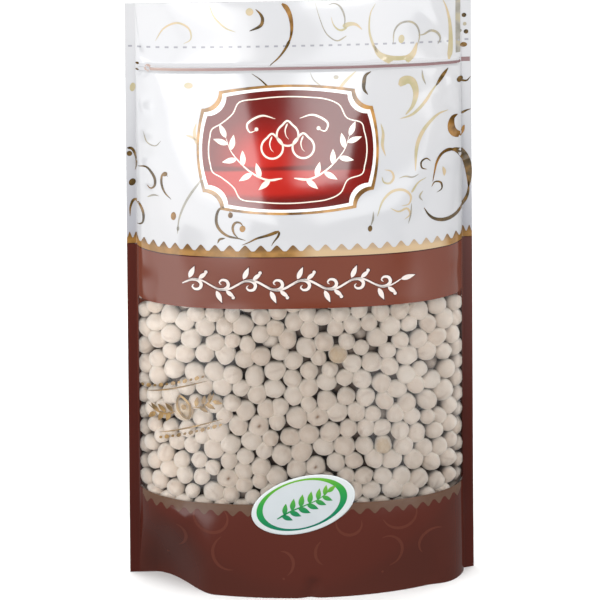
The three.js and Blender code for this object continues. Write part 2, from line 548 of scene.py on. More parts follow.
@dataclass(frozen=True)
class Graded:
    """Ink that runs through its colours up the film."""

    name: str
    low: float
    high: float
    colours: tuple[str, ...]
    roughness: float = 0.06
    lean: float = 0.0  # How much higher the run is counted for each step to the right.
    soil: Colour = (0.02, 0.02, 0.02, 1)
    soil_share: float = 0.08

    def build(self) -> Material:
        """Makes the material from the height on the piece.

        Returns:
            The material.
        """
        board = Board(self.name)
        x, _, z = board.axes()
        height = board.reckon("MULTIPLY_ADD", x, self.lean, z)
        inputs = {"Value": height, "From Min": self.low, "From Max": self.high}
        share = board.node("ShaderNodeMapRange", inputs).outputs[0]
        last = len(self.colours) - 1
        colour = board.ramp(share, *((i / last, ink(code)) for i, code in enumerate(self.colours)))
        colour = board.mix(board.product(board.noise(3.0, 2.0), self.soil_share), colour, self.soil)
        return board.laminate(colour, self.roughness)


@dataclass(frozen=True)
class PaintedLightRed:
    """Red ink, brightest low in the plaque as a painted highlight, and darker towards its ends and its head
    as painted shade.
    """

    name: str
    centre: Point
    # Painted light: the shift places the painted highlight, and the reach is where the painted shade is
    # darkest.
    shift: Point = (-11.2, -4.5)  # The brightest place, from the centre.
    reach: Point = (38.0, 34.0)  # How far from there the ink has its darkest tone.
    line: float = -8.5  # The height of the darker line, from the centre.
    below: Point = (0.45, 1.2)  # The share of the darkening under the line, and its soft edge.
    # How the plaque's lower edge and the line darken: between which distances, and by how much.
    bottom: Three = (-25.0, -19.0, 0.45)
    shade: Three = (0.3, 1.8, 0.3)
    tones: tuple[tuple[float, str], ...] = (
        (0.0, "B52016"), (0.25, "A81D13"), (0.42, "86140C"), (0.62, "68100A"), (1.0, "580E08"),
    )

    def build(self) -> Material:
        """Makes the material, with a darker line across the plaque and a painted bright field below it.

        Returns:
            The material.
        """
        board = Board(self.name)
        x, _, z = board.axes()
        middle, line = self.centre[1], self.centre[1] + self.line
        far = []
        for place, at, shift, reach in zip((x, z), self.centre, self.shift, self.reach):
            off = board.reckon("DIVIDE", board.reckon("SUBTRACT", place, at + shift), reach)
            far.append(board.reckon("POWER", board.reckon("ABSOLUTE", off), 2.0))
        # The red is brightest at the shifted middle, a painted highlight, and darkens away from it as painted
        # shade.
        share = board.reckon("SQRT", board.reckon("ADD", *far))
        less, soft = self.below
        share = board.product(share, board.slide(z, line - soft, line, less, 1.0))
        low, high, most = self.bottom
        edge = board.slide(z, middle + low, middle + high, most, 0.0)
        near, far_off, most = self.shade
        off_line = board.reckon("ABSOLUTE", board.reckon("SUBTRACT", z, line))
        shade = board.slide(off_line, near, far_off, most, 0.0)
        share = board.reckon("ADD", share, board.reckon("ADD", edge, shade))
        colour = board.ramp(share, *((place, ink(code)) for place, code in self.tones))
        return board.laminate(colour, 0.06)


@dataclass(frozen=True)
class ClearFilm:
    """The unprinted film over the window: nearly all light passes, and the rest is mirrored."""

    name: str = "clear_window_film"
    tint: Colour = (0.985, 0.98, 0.975, 1)
    roughness: float = 0.05
    ior: float = 1.5

    def build(self) -> Material:
        """Makes the material as a gloss over a see-through shader.

        Returns:
            The material.
        """
        board = Board(self.name)
        waves = board.bump(board.noise(9.0, 1.0), 0.10)
        mirror = board.node("ShaderNodeBsdfAnisotropic", {"Roughness": self.roughness, "Normal": waves})
        clear = board.node("ShaderNodeBsdfTransparent", {"Color": self.tint})
        facing = board.node("ShaderNodeFresnel", {"IOR": self.ior, "Normal": waves}).outputs[0]
        mixed = board.node("ShaderNodeMixShader", {0: facing, 1: clear.outputs[0], 2: mirror.outputs[0]})
        output = board.tree.nodes["Material Output"]
        board.feed(output, "Surface", mixed.outputs[0])
        board.tree.nodes.remove(board.surface)
        return board.material


@dataclass(frozen=True)
class RoastedSkin:
    """The dry, chalky skin of a white roasted chickpea."""

    name: str = "roasted_chickpea_skin"
    pale: str = "EADBCD"
    warm: str = "D8C19E"
    bloom: str = "F5ECE2"
    # The painted highlight round each chickpea's rim, as the front sees it.
    rim_highlight: str = "F8F3EC"
    scorched: str = "8A6340"
    # The painted shade that deeper parts of the chickpeas darken to.
    depth_shade_colour: str = "503A2C"
    sheen: Colour = (1.0, 0.97, 0.93, 1.0)
    depth: float = 0.14

    def build(self) -> Material:
        """Makes the material: a tone for each chickpea, chalky bloom, browned creases, a painted highlight
        round the rims and painted shade deeper behind the film.

        Returns:
            The material.
        """
        board = Board(self.name)
        warm, pale, bloom = ink(self.warm), ink(self.pale), ink(self.bloom)
        tone = board.ramp(board.mark("tone"), (0.0, warm), (0.3, pale), (1.0, bloom))
        cloud = board.mask(board.noise(1.8, 4.0), 0.35, 0.7)
        colour = board.mix(board.product(cloud, 0.4), tone, bloom)
        colour = board.mix(board.mark("scorch"), colour, ink(self.scorched))
        speck = board.mask(board.noise(0.55, 2.0), 0.66, 0.74)
        colour = board.mix(board.product(speck, 0.25), colour, warm)
        # Painted highlight on the rims that the front sees.
        colour = board.mix(board.product(board.mark("rim"), 0.8), colour, ink(self.rim_highlight))
        # Painted shade: deeper behind the film the chickpeas darken.
        colour = board.mix(board.mark("sunk"), colour, ink(self.depth_shade_colour))
        rough = board.reckon("ADD", board.noise(0.9, 5.0), board.product(board.noise(0.3, 2.0), 0.4))
        return board.finish(
            base_color=colour,
            roughness=0.6,
            ior=1.4,
            sheen_weight=0.55,
            sheen_roughness=0.3,
            sheen_tint=self.sheen,
            normal=board.bump(rough, self.depth),
        )


@dataclass(frozen=True)
class Matt:
    """A plain dull finish with a fine grain."""

    name: str
    colour: str
    shade: str
    grain: float
    roughness: float = 0.8
    depth: float = 0.1

    def build(self) -> Material:
        """Makes the material from two shades of one colour.

        Returns:
            The material.
        """
        board = Board(self.name)
        grain = board.noise(self.grain, 4.0)
        colour = board.mix(grain, ink(self.colour), ink(self.shade))
        return board.finish(base_color=colour, roughness=self.roughness, normal=board.bump(grain, self.depth))


# ---- Meshes ----


class Cloth(Enum):
    """The record's material slots."""

    FILM = "printed_film"
    BEAN = "roasted_chickpea"
    STICKER = "sticker_paper"


def set_out(name: str, data: bpy.types.ID) -> Piece:
    """Puts an object into the scene.

    Args:
        name: Its name.
        data: Its mesh, lamp or camera.

    Returns:
        The object.
    """
    made = bpy.data.objects.new(name, data)
    bpy.context.scene.collection.objects.link(made)
    return made


@dataclass
class Patchwork:
    """Faces that are gathered into one mesh."""

    points: list[Array] = field(default_factory=list)
    faces: list[tuple[int, ...]] = field(default_factory=list)
    marks: dict[str, list[Array]] = field(default_factory=dict)
    count: int = 0

    def add(self, points: Array, faces: Array | list, **marks: Array) -> None:
        """Adds points and the faces between them.

        Args:
            points: The points.
            faces: The faces, counted from the first of these points.
            **marks: Values that the points carry.
        """
        flat = np.asarray(points, float).reshape(-1, 3)
        self.points.append(flat)
        self.faces.extend(tuple(int(i) + self.count for i in face) for face in faces)
        for name, values in marks.items():
            self.marks.setdefault(name, []).append(np.broadcast_to(values, len(flat)))
        self.count += len(flat)

    def make(
        self, name: str, finish: Material, slot: Cloth = Cloth.FILM, crisp: float | None = None
    ) -> Piece:
        """Makes the object, and lets it ride on the pouch's body.

        Args:
            name: The piece's name.
            finish: Its material.
            slot: The record's slot for its finish; not used.
            crisp: The angle in degrees over which an edge stays sharp, if any does.

        Returns:
            The object.
        """
        mesh = bpy.data.meshes.new(name)
        mesh.from_pydata((np.concatenate(self.points) * MM).tolist(), [], self.faces)
        for key, parts in self.marks.items():
            layer = mesh.attributes.new(key, "FLOAT", "POINT")
            layer.data.foreach_set("value", np.concatenate(parts).astype(np.float32))
        mesh.shade_smooth()
        if crisp:
            mesh.set_sharp_from_angle(angle=math.radians(crisp))
        mesh.materials.append(finish)
        made = set_out(name, mesh)
        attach(made, BODY)
        log.info("%s: %d faces", name, len(mesh.polygons))
        return made


def grid_faces(columns: int, rows: int, start: int = 0, flip: bool = False) -> Array:
    """The quads of a grid of points, counted along its rows.

    Args:
        columns: Points in a row.
        rows: Rows.
        start: The first point's number.
        flip: Whether the quads face the other way.

    Returns:
        Four numbers for each quad.
    """
    at = np.arange(columns * rows).reshape(rows, columns) + start
    quads = np.stack([at[:-1, :-1], at[:-1, 1:], at[1:, 1:], at[1:, :-1]], -1).reshape(-1, 4)
    return quads[:, ::-1] if flip else quads


def smooth_line(points: Array, step: float, closed: bool = False) -> Array:
    """A smooth curve through points, in even steps.

    Args:
        points: The points that it passes through.
        step: The length of a step.
        closed: Whether it runs back to its start.

    Returns:
        The points of the curve.
    """
    points = np.asarray(points, float)
    if closed:
        knots = np.vstack([points[-1], points, points[0], points[1]])
    else:
        knots = np.vstack([2 * points[0] - points[1], points, 2 * points[-1] - points[-2]])
    fine = []
    t = np.linspace(0, 1, CURVE_STEPS + 1)[:-1, None]
    for a, b, c, d in zip(knots[:-3], knots[1:-2], knots[2:-1], knots[3:]):
        curve = 2 * b + (c - a) * t + (2 * a - 5 * b + 4 * c - d) * t**2
        fine.append(0.5 * (curve + (3 * b - a - 3 * c + d) * t**3))
    line = np.vstack([*fine, knots[-2]])
    walked = np.concatenate([[0], np.cumsum(np.linalg.norm(np.diff(line, axis=0), axis=1))])
    stops = np.linspace(0, walked[-1], max(int(walked[-1] / step), 4) + 1)
    return np.stack([np.interp(stops, walked, line[:, k]) for k in range(2)], -1)


def turning(degrees: float) -> Array:
    """The matrix that turns rows of points left by an angle."""
    c, s = math.cos(math.radians(degrees)), math.sin(math.radians(degrees))
    return np.array([[c, s], [-s, c]])


def rays(angles: Array) -> Array:
    """The points at a distance of 1 from the middle, at angles in radians."""
    return np.stack([np.cos(angles), np.sin(angles)], -1)


@dataclass
class Drawing:
    """Flat shapes and lines printed on one of the films."""

    film: Film
    side: Side = Side.FRONT
    lift: float = 0.05
    patches: Patchwork = field(default_factory=Patchwork)

    def both_sides(self) -> list["Drawing"]:
        """A drawing on each film, both gathered into this one."""
        return [Drawing(self.film, side, self.lift, self.patches) for side in Side]

    def sheet(self, flat: Array, faces: Array | list) -> None:
        """Lays flat points on the film, with faces that run left round."""
        u, v = flat.reshape(-1, 2).T
        self.patches.add(self.film.place(self.side, u, v, self.lift), faces)

    def line(
        self,
        points: object,
        width: float,
        swell: Swell = Swell.MIDDLE,
        closed: bool = False,
        least: float = 0.12,
    ) -> None:
        """Draws a line whose width swells.

        Args:
            points: The points that it passes through.
            width: Its greatest width.
            swell: Where it is widest.
            closed: Whether it runs back to its start.
            least: The share of the width that it has at its thin ends.
        """
        path = smooth_line(points, LINE_STEP, closed)
        ahead = np.roll(path, -1, 0) - np.roll(path, 1, 0) if closed else np.gradient(path, axis=0)
        if not closed:
            ahead[0], ahead[-1] = path[1] - path[0], path[-1] - path[-2]
        ahead /= np.linalg.norm(ahead, axis=1, keepdims=True) + 1e-9
        across = np.stack([-ahead[:, 1], ahead[:, 0]], -1)
        t = np.linspace(0, 1, len(path))
        shapes = {
            Swell.MIDDLE: np.sin(math.pi * t) ** 0.8,
            Swell.START: (1 - t) ** 0.8 * np.minimum(1, 8 * t + 0.25),
            Swell.END: t**0.8 * np.minimum(1, 8 * (1 - t) + 0.25),
            Swell.EVEN: np.ones_like(t),
        }
        half = width / 2 * (least + (1 - least) * shapes[swell])
        flat = np.stack([path + across * (half * k)[:, None] for k in (-1, 0, 1)], 0)
        if closed:
            flat = np.concatenate([flat, flat[:, :1]], 1)
        self.sheet(flat, grid_faces(flat.shape[1], 3))

    def dot(self, centre: Point, radius: float, squash: float = 1.0, turn: float = 0.0) -> None:
        """Draws a filled round, or an oval that is squashed by a share and then turned."""
        flat = rays(np.linspace(0, 2 * math.pi, 17)[:-1]) * (radius, radius * squash)
        self.fill(flat @ turning(turn) + centre, centre, 1)

    def fill(self, outline: Array, centre: Point, rings: int) -> None:
        """Fills an outline that can be seen all round from one point.

        Args:
            outline: Its points, left round.
            centre: The point.
            rings: How many rings of faces lie between the two.
        """
        centre = np.asarray(centre, float)
        count = len(outline)
        shares = np.arange(1, rings + 1) / rings
        flat = np.concatenate([centre + (outline - centre) * s for s in shares] + [centre[None]])
        faces = [(count * rings, i, (i + 1) % count) for i in range(count)]
        for ring in range(rings - 1):
            a, b = ring * count, (ring + 1) * count
            faces += [(a + i, b + i, b + (i + 1) % count, a + (i + 1) % count) for i in range(count)]
        self.sheet(flat, faces)

    def leaf(self, foot: Point, length: float, turn: float, width: float = 0.4) -> None:
        """Draws a pointed leaf.

        Args:
            foot: Where it grows from.
            length: Its length.
            turn: The way that it points, in degrees from the right.
            width: Its width as a share of its length.
        """
        t = np.linspace(0, 1, 9)
        half = width / 2 * np.sin(math.pi * t**0.8)
        upper = np.stack([t, half], -1)[::-1]
        lower = np.stack([t[1:-1], -half[1:-1]], -1)
        outline = np.concatenate([lower, upper]) * length
        middle = np.array([0.45 * length, 0.0])
        self.fill(outline @ turning(turn) + foot, middle @ turning(turn) + foot, 1)

    def make(self, name: str, finish: Material, slot: Cloth = Cloth.FILM) -> Piece:
        """Makes the object of all that is drawn."""
        return self.patches.make(name, finish, slot)


# ---- The pouch ----


@dataclass
class Pouch:
    """The printed films, the gusset and the clear window."""

    film: Film
    window: Three = (75.0, 45.0, 140.0)  # Half its width, its foot and its head.
    border: float = 165.0
    corner: float = 6.0
    corner_overlap: float = 0.3
    across: int = 168
    snap: float = 0.12  # A column this near to the window's side moves onto it.
    zipper_reach: float = 5.0  # How far from the zipper the film has closer rows.
    gusset_rows: int = 25
    gusset_foot: float = 0.15
    gusset_rise: float = 3.2
    # Where the gusset has its full rise: the share from its rim, and its depth.
    gusset_ease: Point = (0.14, 30.0)
    # The fold along its middle: its depth, and its width as a share of the gusset's.
    gusset_fold: Point = (0.7, 0.02)

    def columns(self) -> Array:
        """Places across the films, closer together towards the welds.

        Returns:
            Their x, from left to right.
        """
        seal = self.film.half_width - self.film.inflated
        flat = self.film.inflated + seal * np.array([0.1, 0.4, 0.7, 1.0])
        round_part = self.film.inflated * np.sin(np.linspace(-math.pi / 2, math.pi / 2, self.across))
        edge = self.window[0]
        near = np.abs(np.abs(round_part) - edge) < self.snap
        placed = np.where(near, np.sign(round_part) * edge, round_part)
        return np.unique(np.round(np.concatenate([-flat, placed, [-edge, edge], flat]), 4))

    def sleeve(self, patches: Patchwork, rows: Array, opening: bool, top: bool) -> None:
        """Adds a stretch of the front film, the back film and the welds' edges.

        Args:
            patches: Where the faces go.
            rows: Places up the stretch.
            opening: Whether the window is left out.
            top: Whether the stretch ends in the pouch's top edge.
        """
        xs = self.columns()
        n, m = len(xs), len(rows)
        grid_x, grid_z = np.meshgrid(xs, rows)
        front = self.film.place(Side.FRONT, grid_x, grid_z)
        back = self.film.place(Side.BACK, -grid_x, grid_z)
        faces = grid_faces(n, m)
        if opening:
            half, low, high = self.window
            x = (xs[:-1] + xs[1:]) / 2
            z = (rows[:-1] + rows[1:]) / 2
            inside = (np.abs(x)[None, :] < half) & (z[:, None] > low) & (z[:, None] < high)
            faces = faces[~inside.ravel()]
        patches.add(front, faces)
        patches.add(back, grid_faces(n, m, flip=True))
        for pair in ((back[:, 0], front[:, 0]), (front[:, -1], back[:, -1])):
            patches.add(np.stack(pair, 1), grid_faces(2, m))
        if top:
            patches.add(np.stack([front[-1], back[-1]], 0), grid_faces(n, 2))

    def build_head(self) -> Piece:
        """Makes the white head of the pouch, down to the brown band.

        Returns:
            The piece.
        """
        patches = Patchwork()
        low, high = self.film.zipper[0] - self.zipper_reach, self.film.zipper[0] + self.zipper_reach
        rows = spans((self.border, low, 60), (low, high, 34), (high, self.film.height, 22))
        self.sleeve(patches, rows, False, True)
        # The bluish grey at the head's side welds is painted shade.
        finish = Print("pearl_white_film", "B9BBBF", "C2C1C2", 45, weld_shade="A5A5AC", weld_fade=(150, 242))
        return patches.make("head_film", finish.build(), crisp=WELD_ANGLE)

    def brown(self, name: str) -> Print:
        """The brown print, with painted shade towards the foot, at the side welds and over the foot's weld.
        """
        # Each of these darker tones is painted shade.
        tones = {"lower": "56241A", "weld_shade": "4C160A", "foot_weld_shade": "4B231A"}
        return Print(name, "6D331E", "652C1A", patch=24, roughness=0.15, **tones)

    def build_foot(self) -> Piece:
        """Makes the brown lower part, with the window left out.

        Returns:
            The piece.
        """
        patches = Patchwork()
        _, low, high = self.window
        self.sleeve(patches, spans((0, low, 40), (low, high, 66), (high, self.border, 20)), True, False)
        return patches.make("brown_film", self.brown("brown_film").build(), crisp=WELD_ANGLE)

    def build_gusset(self) -> Piece:
        """Makes the film that closes the pouch below, raised a little inside its weld rim.

        Returns:
            The piece.
        """
        xs = self.columns()[2:-2]
        shares = np.linspace(0, 1, self.gusset_rows)[:, None]
        front = self.film.front(xs, 0.0)
        back = self.film.section(Side.BACK, xs, 0.0)
        y = front + (back - front) * shares
        rim, full = self.gusset_ease
        opened = np.clip((back - front) / full, 0, 1)
        inside = ease(0.0, rim, np.minimum(shares, 1 - shares)) * opened
        depth, width = self.gusset_fold
        fold = depth * np.exp(-((shares - 0.5) / width) ** 2) * opened
        z = self.gusset_foot + self.gusset_rise * inside - fold
        x = np.broadcast_to(xs, y.shape)
        patches = Patchwork()
        patches.add(np.stack([x, y, z], -1), grid_faces(len(xs), len(shares), flip=True))
        finish = Print("gusset_film", "5E2E22", "552A1F", patch=18, roughness=0.12)
        return patches.make("gusset_film", finish.build())

    def build_window(self) -> Piece:
        """Makes the clear film in the window.

        Returns:
            The piece.
        """
        half, low, high = self.window
        xs = self.columns()
        xs = xs[np.abs(xs) <= half + 1e-6]
        rows = spans((low, high, 66))
        patches = Patchwork()
        patches.add(self.film.place(Side.FRONT, *np.meshgrid(xs, rows)), grid_faces(len(xs), len(rows)))
        return patches.make("window_film", ClearFilm().build())

    def build_corners(self) -> Piece:
        """Rounds the window's four printed corners.

        Returns:
            The piece.
        """
        half, low, high = self.window
        drawing = Drawing(self.film, lift=0.03)
        angles = np.radians(np.linspace(0, 90, 9))
        quarter = rays(angles)
        for right in (-1, 1):
            for up in (-1, 1):
                way = np.array([right, up])
                tip = np.array([right * half, high if up > 0 else low])
                arc = tip + self.corner * (quarter * way - way)
                outline = np.vstack([tip + self.corner_overlap * way, arc])
                order = range(1, len(arc))
                faces = [(i + 1, i, 0) if right * up > 0 else (i, i + 1, 0) for i in order]
                drawing.sheet(outline, faces)
        return drawing.make("window_corners", self.brown("corner_film").build())

    def build(self) -> list[Piece]:
        """Makes all of the pouch's pieces."""
        films = [self.build_head(), self.build_foot(), self.build_gusset()]
        return films + [self.build_window(), self.build_corners()]


# ---- The contents ----


def cube_ball(cuts: int) -> tuple[Array, Array]:
    """A ball of even quads.

    Args:
        cuts: Quads along each edge of the cube that it is blown up from.

    Returns:
        Its points at a distance of 1 from the middle, and its quads.
    """
    line = np.tan(np.linspace(-math.pi / 4, math.pi / 4, cuts + 1))
    a, b = np.meshgrid(line, line)
    flat = np.stack([a, b, np.ones_like(a)], -1).reshape(-1, 3)
    turns = [Matrix.Rotation(math.radians(angle), 3, "X") for angle in (0, 90, 180, 270)]
    turns += [Matrix.Rotation(math.radians(angle), 3, "Y") for angle in (90, 270)]
    points = np.concatenate([flat @ np.array(turn).T for turn in turns])
    points /= np.linalg.norm(points, axis=1, keepdims=True)
    faces = np.concatenate([grid_faces(cuts + 1, cuts + 1, start=k * len(flat)) for k in range(len(turns))])
    _, first, same = np.unique(np.round(points, 5), axis=0, return_index=True, return_inverse=True)
    return points[first], same.ravel()[faces]


@dataclass(frozen=True)
class Chickpea:
    """The shape of one chickpea, in shares of its radius."""

    lumps: Points = ((1.6, 0.045), (2.6, 0.036), (4.2, 0.02), (7.0, 0.011))  # Waves, height.
    phases: Point = (0.0, 6.28)
    beak: Point = (0.04, 0.15)
    beak_width: float = 0.16
    groove_width: float = 0.13
    groove_depth: float = 0.07
    groove_share: Point = (0.2, 1.0)
    dent_depth: Point = (0.0, 0.10)
    dent_width: Point = (0.08, 0.3)
    pit: Three = (0.0, -0.96, 0.28)
    pit_width: float = 0.035
    pit_depth: float = 0.12
    stretch: Point = (-0.09, 0.07)
    scorch: Three = (0.2, 0.10, 1.1)  # In the groove, the dent and the pit.

    def shape(self, ball: Array, random: np.random.Generator, pitted: bool) -> tuple[Array, Array]:
        """Shapes one chickpea from a ball.

        Args:
            ball: The ball's points.
            random: The source of chance.
            pitted: Whether it has a browned pit.

        Returns:
            Its points, and how scorched each is.
        """
        lumps = sum(
            np.sin(ball @ random.normal(0, waves, 3) + random.uniform(*self.phases)) * height
            for waves, height in self.lumps
        )
        beak = random.uniform(*self.beak) * np.exp(-((1 - ball[:, 2]) / self.beak_width))
        groove = np.exp(-((ball[:, 0] / self.groove_width) ** 2))
        groove = groove * ease(-0.1, 0.6, ball[:, 1]) * ease(-0.8, 0.5, ball[:, 2])
        middle = random.normal(0, 1, 3)
        middle /= np.linalg.norm(middle)
        dent = np.exp(-((ball - middle) ** 2).sum(1) / random.uniform(*self.dent_width))
        far = 1 + lumps + beak - self.groove_depth * random.uniform(*self.groove_share) * groove
        far = far - random.uniform(*self.dent_depth) * dent
        in_groove, in_dent, in_pit = self.scorch
        scorch = in_groove * groove + in_dent * dent
        if pitted:
            pit = np.exp(-((ball - np.array(self.pit)) ** 2).sum(1) / self.pit_width)
            far = far - self.pit_depth * pit
            scorch = scorch + in_pit * pit
        stretch = 1 + random.uniform(*self.stretch, 3)
        return ball * far[:, None] * stretch, np.clip(scorch, 0, 1)

    def turn(self, random: np.random.Generator) -> Array:
        """A matrix that turns a chickpea any way round.

        Args:
            random: The source of chance.

        Returns:
            The matrix.
        """
        made, upper = np.linalg.qr(random.normal(0, 1, (3, 3)))
        made = made * np.sign(np.diag(upper))
        return made if np.linalg.det(made) > 0 else -made


@dataclass
class Heap:
    """The chickpeas behind the window, settled against each other and the film."""

    film: Film
    window: Three
    bean: Chickpea = Chickpea()
    count: int = 840
    radius: float = 4.5
    spread: float = 0.34
    radii: Point = (3.8, 5.3)  # The least and the greatest.
    # The layer's depth, how far it runs past the window, and half its width at the start.
    depth: float = 27.0
    margin: float = 10.0
    half_width: float = 68.0
    back_gap: float = 2.0
    start_room: Point = (0.15, 0.95)
    # The shaking: its rounds, how often neighbours are looked for, the first push, its shares to the
    # front and down, and how much of an overlap each ball gives way.
    rounds: int = 500
    search: int = 10
    push: float = 0.35
    drift: Point = (0.32, 0.06)
    shove: float = 0.42
    # How close balls come to the film and the welds, and in radii to the welds' plane.
    skin_gap: float = 0.25
    weld_play: float = 0.1
    plane_gap: float = 0.5
    seed: int = 11
    # The balls' cuts, and the depths behind the film to which they are fine, or made at all.
    fine: int = 6
    coarse: int = 3
    fine_depth: float = 9.0
    made_depth: float = 20.0
    fine_margin: float = 6.0
    edge_gap: float = 0.4
    clearance: float = 0.12
    # Painted shade: how chickpeas darken behind the film, between two depths, and by how much.
    sunk: Three = (2.8, 8.4, 0.92)
    # Where the painted rim highlight sets in and ends, by how much a point faces the front.
    highlight_inner: Point = (0.72, 0.3)
    highlight_outer: Point = (-0.25, 0.1)
    tone: Three = (0.65, 0.17, 0.25)  # Its mean, spread and least value.
    yellowed_tone: float = 0.08
    yellowed: Points = ((14.7, 119.5), (-54.0, 88.0), (41.0, 71.0))
    scorched: Points = ((6.8, 66.5), (9.8, 88.5), (-21.0, 84.0), (-36.0, 60.0))
    front_depth: float = 5.5  # Chickpeas deeper than this are picked last.
    # The bulk behind, a dark sheet of painted shade for the hidden chickpeas: its points, how far it passes
    # the window, and its gaps to layer and welds.
    core_points: tuple[int, int] = (40, 24)
    core_margin: float = 14.0
    core_gap: float = 5.0
    core_front: float = 0.8

    def settle(self) -> tuple[Array, Array]:
        """Shakes balls together behind the film until they hardly overlap.

        Returns:
            The balls' middles and radii.
        """
        random = np.random.default_rng(self.seed)
        _, low, high = self.window
        radii = np.clip(self.radius + self.spread * random.standard_normal(self.count), *self.radii)
        x = random.uniform(-self.half_width, self.half_width, self.count)
        z = random.uniform(low - self.margin, high + self.margin, self.count)
        skin = self.film.front(x, z)
        room = np.minimum(self.depth, -skin - self.back_gap)
        y = skin + room * random.uniform(*self.start_room, self.count)
        middles = np.stack([x, y, z], -1)
        for turn in range(self.rounds):
            if turn % self.search == 0:
                gaps = np.linalg.norm(middles[:, None] - middles[None], axis=-1)
                first, second = np.nonzero(np.triu(gaps < 4 * self.radius, 1))
            push = self.push * (1 - turn / self.rounds)
            middles[:, 1:] -= push * np.array(self.drift)
            way = middles[first] - middles[second]
            apart = np.linalg.norm(way, axis=1) + 1e-9
            over = np.maximum(radii[first] + radii[second] - apart, 0)
            shove = way * (over / apart * self.shove)[:, None]
            np.add.at(middles, first, shove)
            np.add.at(middles, second, -shove)
            middles = self.keep_in(middles, radii, low, high)
        return middles, radii

    def keep_in(self, middles: Array, radii: Array, low: float, high: float) -> Array:
        """Moves balls back inside the film, the welds and the back of the layer.

        Args:
            middles: The balls' middles.
            radii: Their radii.
            low: The window's foot.
            high: The window's head.

        Returns:
            The middles after the move.
        """
        x, y, z = middles.T
        limit = self.film.inflated + self.weld_play - radii
        x = np.clip(x, -limit, limit)
        z = np.clip(z, low - self.margin, high + self.margin)
        surface = self.film.front(x, z)
        out = self.film.normal(Side.FRONT, x, z)
        away = (y - surface) * -out[:, 1]
        short = np.maximum(radii + self.skin_gap - away, 0)
        moved = np.stack([x, y, z], -1) - out * short[:, None]
        moved[:, 0] = np.clip(moved[:, 0], -limit, limit)
        back = np.minimum(surface + self.depth, -self.plane_gap * radii)
        moved[:, 1] = np.minimum(moved[:, 1], np.maximum(back, surface + radii))
        return moved

    def nearest(self, middles: Array, shown: Array, places: Points) -> set[int]:
        """Finds the front chickpeas nearest to places on the film.

        Args:
            middles: The chickpeas' middles.
            shown: Which of them show.
            places: The places.

        Returns:
            Their numbers.
        """
        found = set()
        for u, v in places:
            way = np.hypot(middles[:, 0] - u, middles[:, 2] - v) + np.where(shown, 0, np.inf)
            depth = middles[:, 1] - self.film.front(middles[:, 0], middles[:, 2])
            found.add(int(np.argmin(way + 2 * np.maximum(depth - self.front_depth, 0))))
        return found

    def build(self) -> Piece:
        """Makes the chickpeas as one mesh, finer where they show.

        Returns:
            The piece.
        """
        middles, radii = self.settle()
        random = np.random.default_rng(self.seed + 1)
        fine, coarse = cube_ball(self.fine), cube_ball(self.coarse)
        x, y, z = middles.T
        behind = y - self.film.front(x, z)
        _, low, high = self.window
        shown = (behind < self.fine_depth) & (z > low - self.fine_margin) & (z < high + self.fine_margin)
        patches = Patchwork()
        pitted = self.nearest(middles, shown, self.scorched)
        yellowed = self.nearest(middles, shown, self.yellowed)
        reach = self.film.inflated - self.edge_gap
        start, end, most = self.sunk
        mean, spread, least = self.tone
        for number in np.flatnonzero((behind < self.made_depth) | shown):
            points, faces = fine if shown[number] else coarse
            shape, scorch = self.bean.shape(points, random, number in pitted)
            turn = np.eye(3) if number in pitted else self.bean.turn(random)
            placed = shape @ turn.T * radii[number] + middles[number]
            tone = self.yellowed_tone
            if number not in yellowed:
                tone = float(np.clip(random.normal(mean, spread), least, 1))
            placed[:, 0] = np.clip(placed[:, 0], -reach, reach)
            skin = self.film.front(placed[:, 0], placed[:, 2])
            placed[:, 1] = np.clip(placed[:, 1], skin + self.clearance, -self.clearance)
            # Painted shade: the deeper a point lies behind the film, the darker.
            sunk = most * ease(start, end, placed[:, 1] - skin)
            # Painted highlight: the rim as seen from the front is marked lighter.
            facing = -(placed - middles[number])[:, 1] / radii[number]
            rim = ease(*self.highlight_inner, facing) * ease(*self.highlight_outer, facing)
            patches.add(placed, faces, tone=tone, scorch=scorch, rim=rim, sunk=sunk)
        made = patches.make("roasted_chickpeas", RoastedSkin().build(), Cloth.BEAN)
        log.info("chickpeas: %d, %d of them fine", len(middles), int(shown.sum()))
        return made

    def build_shade_core(self) -> Piece:
        """Makes the dark bulk behind the chickpeas, a sheet of painted shade in place of the hidden ones.

        Returns:
            The piece.
        """
        _, low, high = self.window
        columns, rows = self.core_points
        xs = self.film.inflated * np.sin(np.linspace(-1.5, 1.5, columns))
        zs = np.linspace(low - self.core_margin, high + self.core_margin, rows)
        grid_x, grid_z = np.meshgrid(xs, zs)
        half = -self.film.front(grid_x, grid_z)
        front = np.minimum(-(half - self.depth + self.core_gap), -self.core_front)
        patches = Patchwork()
        patches.add(np.stack([grid_x, front, grid_z], -1), grid_faces(columns, rows))
        back = np.stack([grid_x, np.zeros_like(front), grid_z], -1)
        patches.add(back, grid_faces(columns, rows, flip=True))
        finish = Matt("heap_shade_bulk", "5A4536", "402F24", grain=5)
        return patches.make("heap_shade_core", finish.build(), Cloth.BEAN)


# ---- The sticker ----


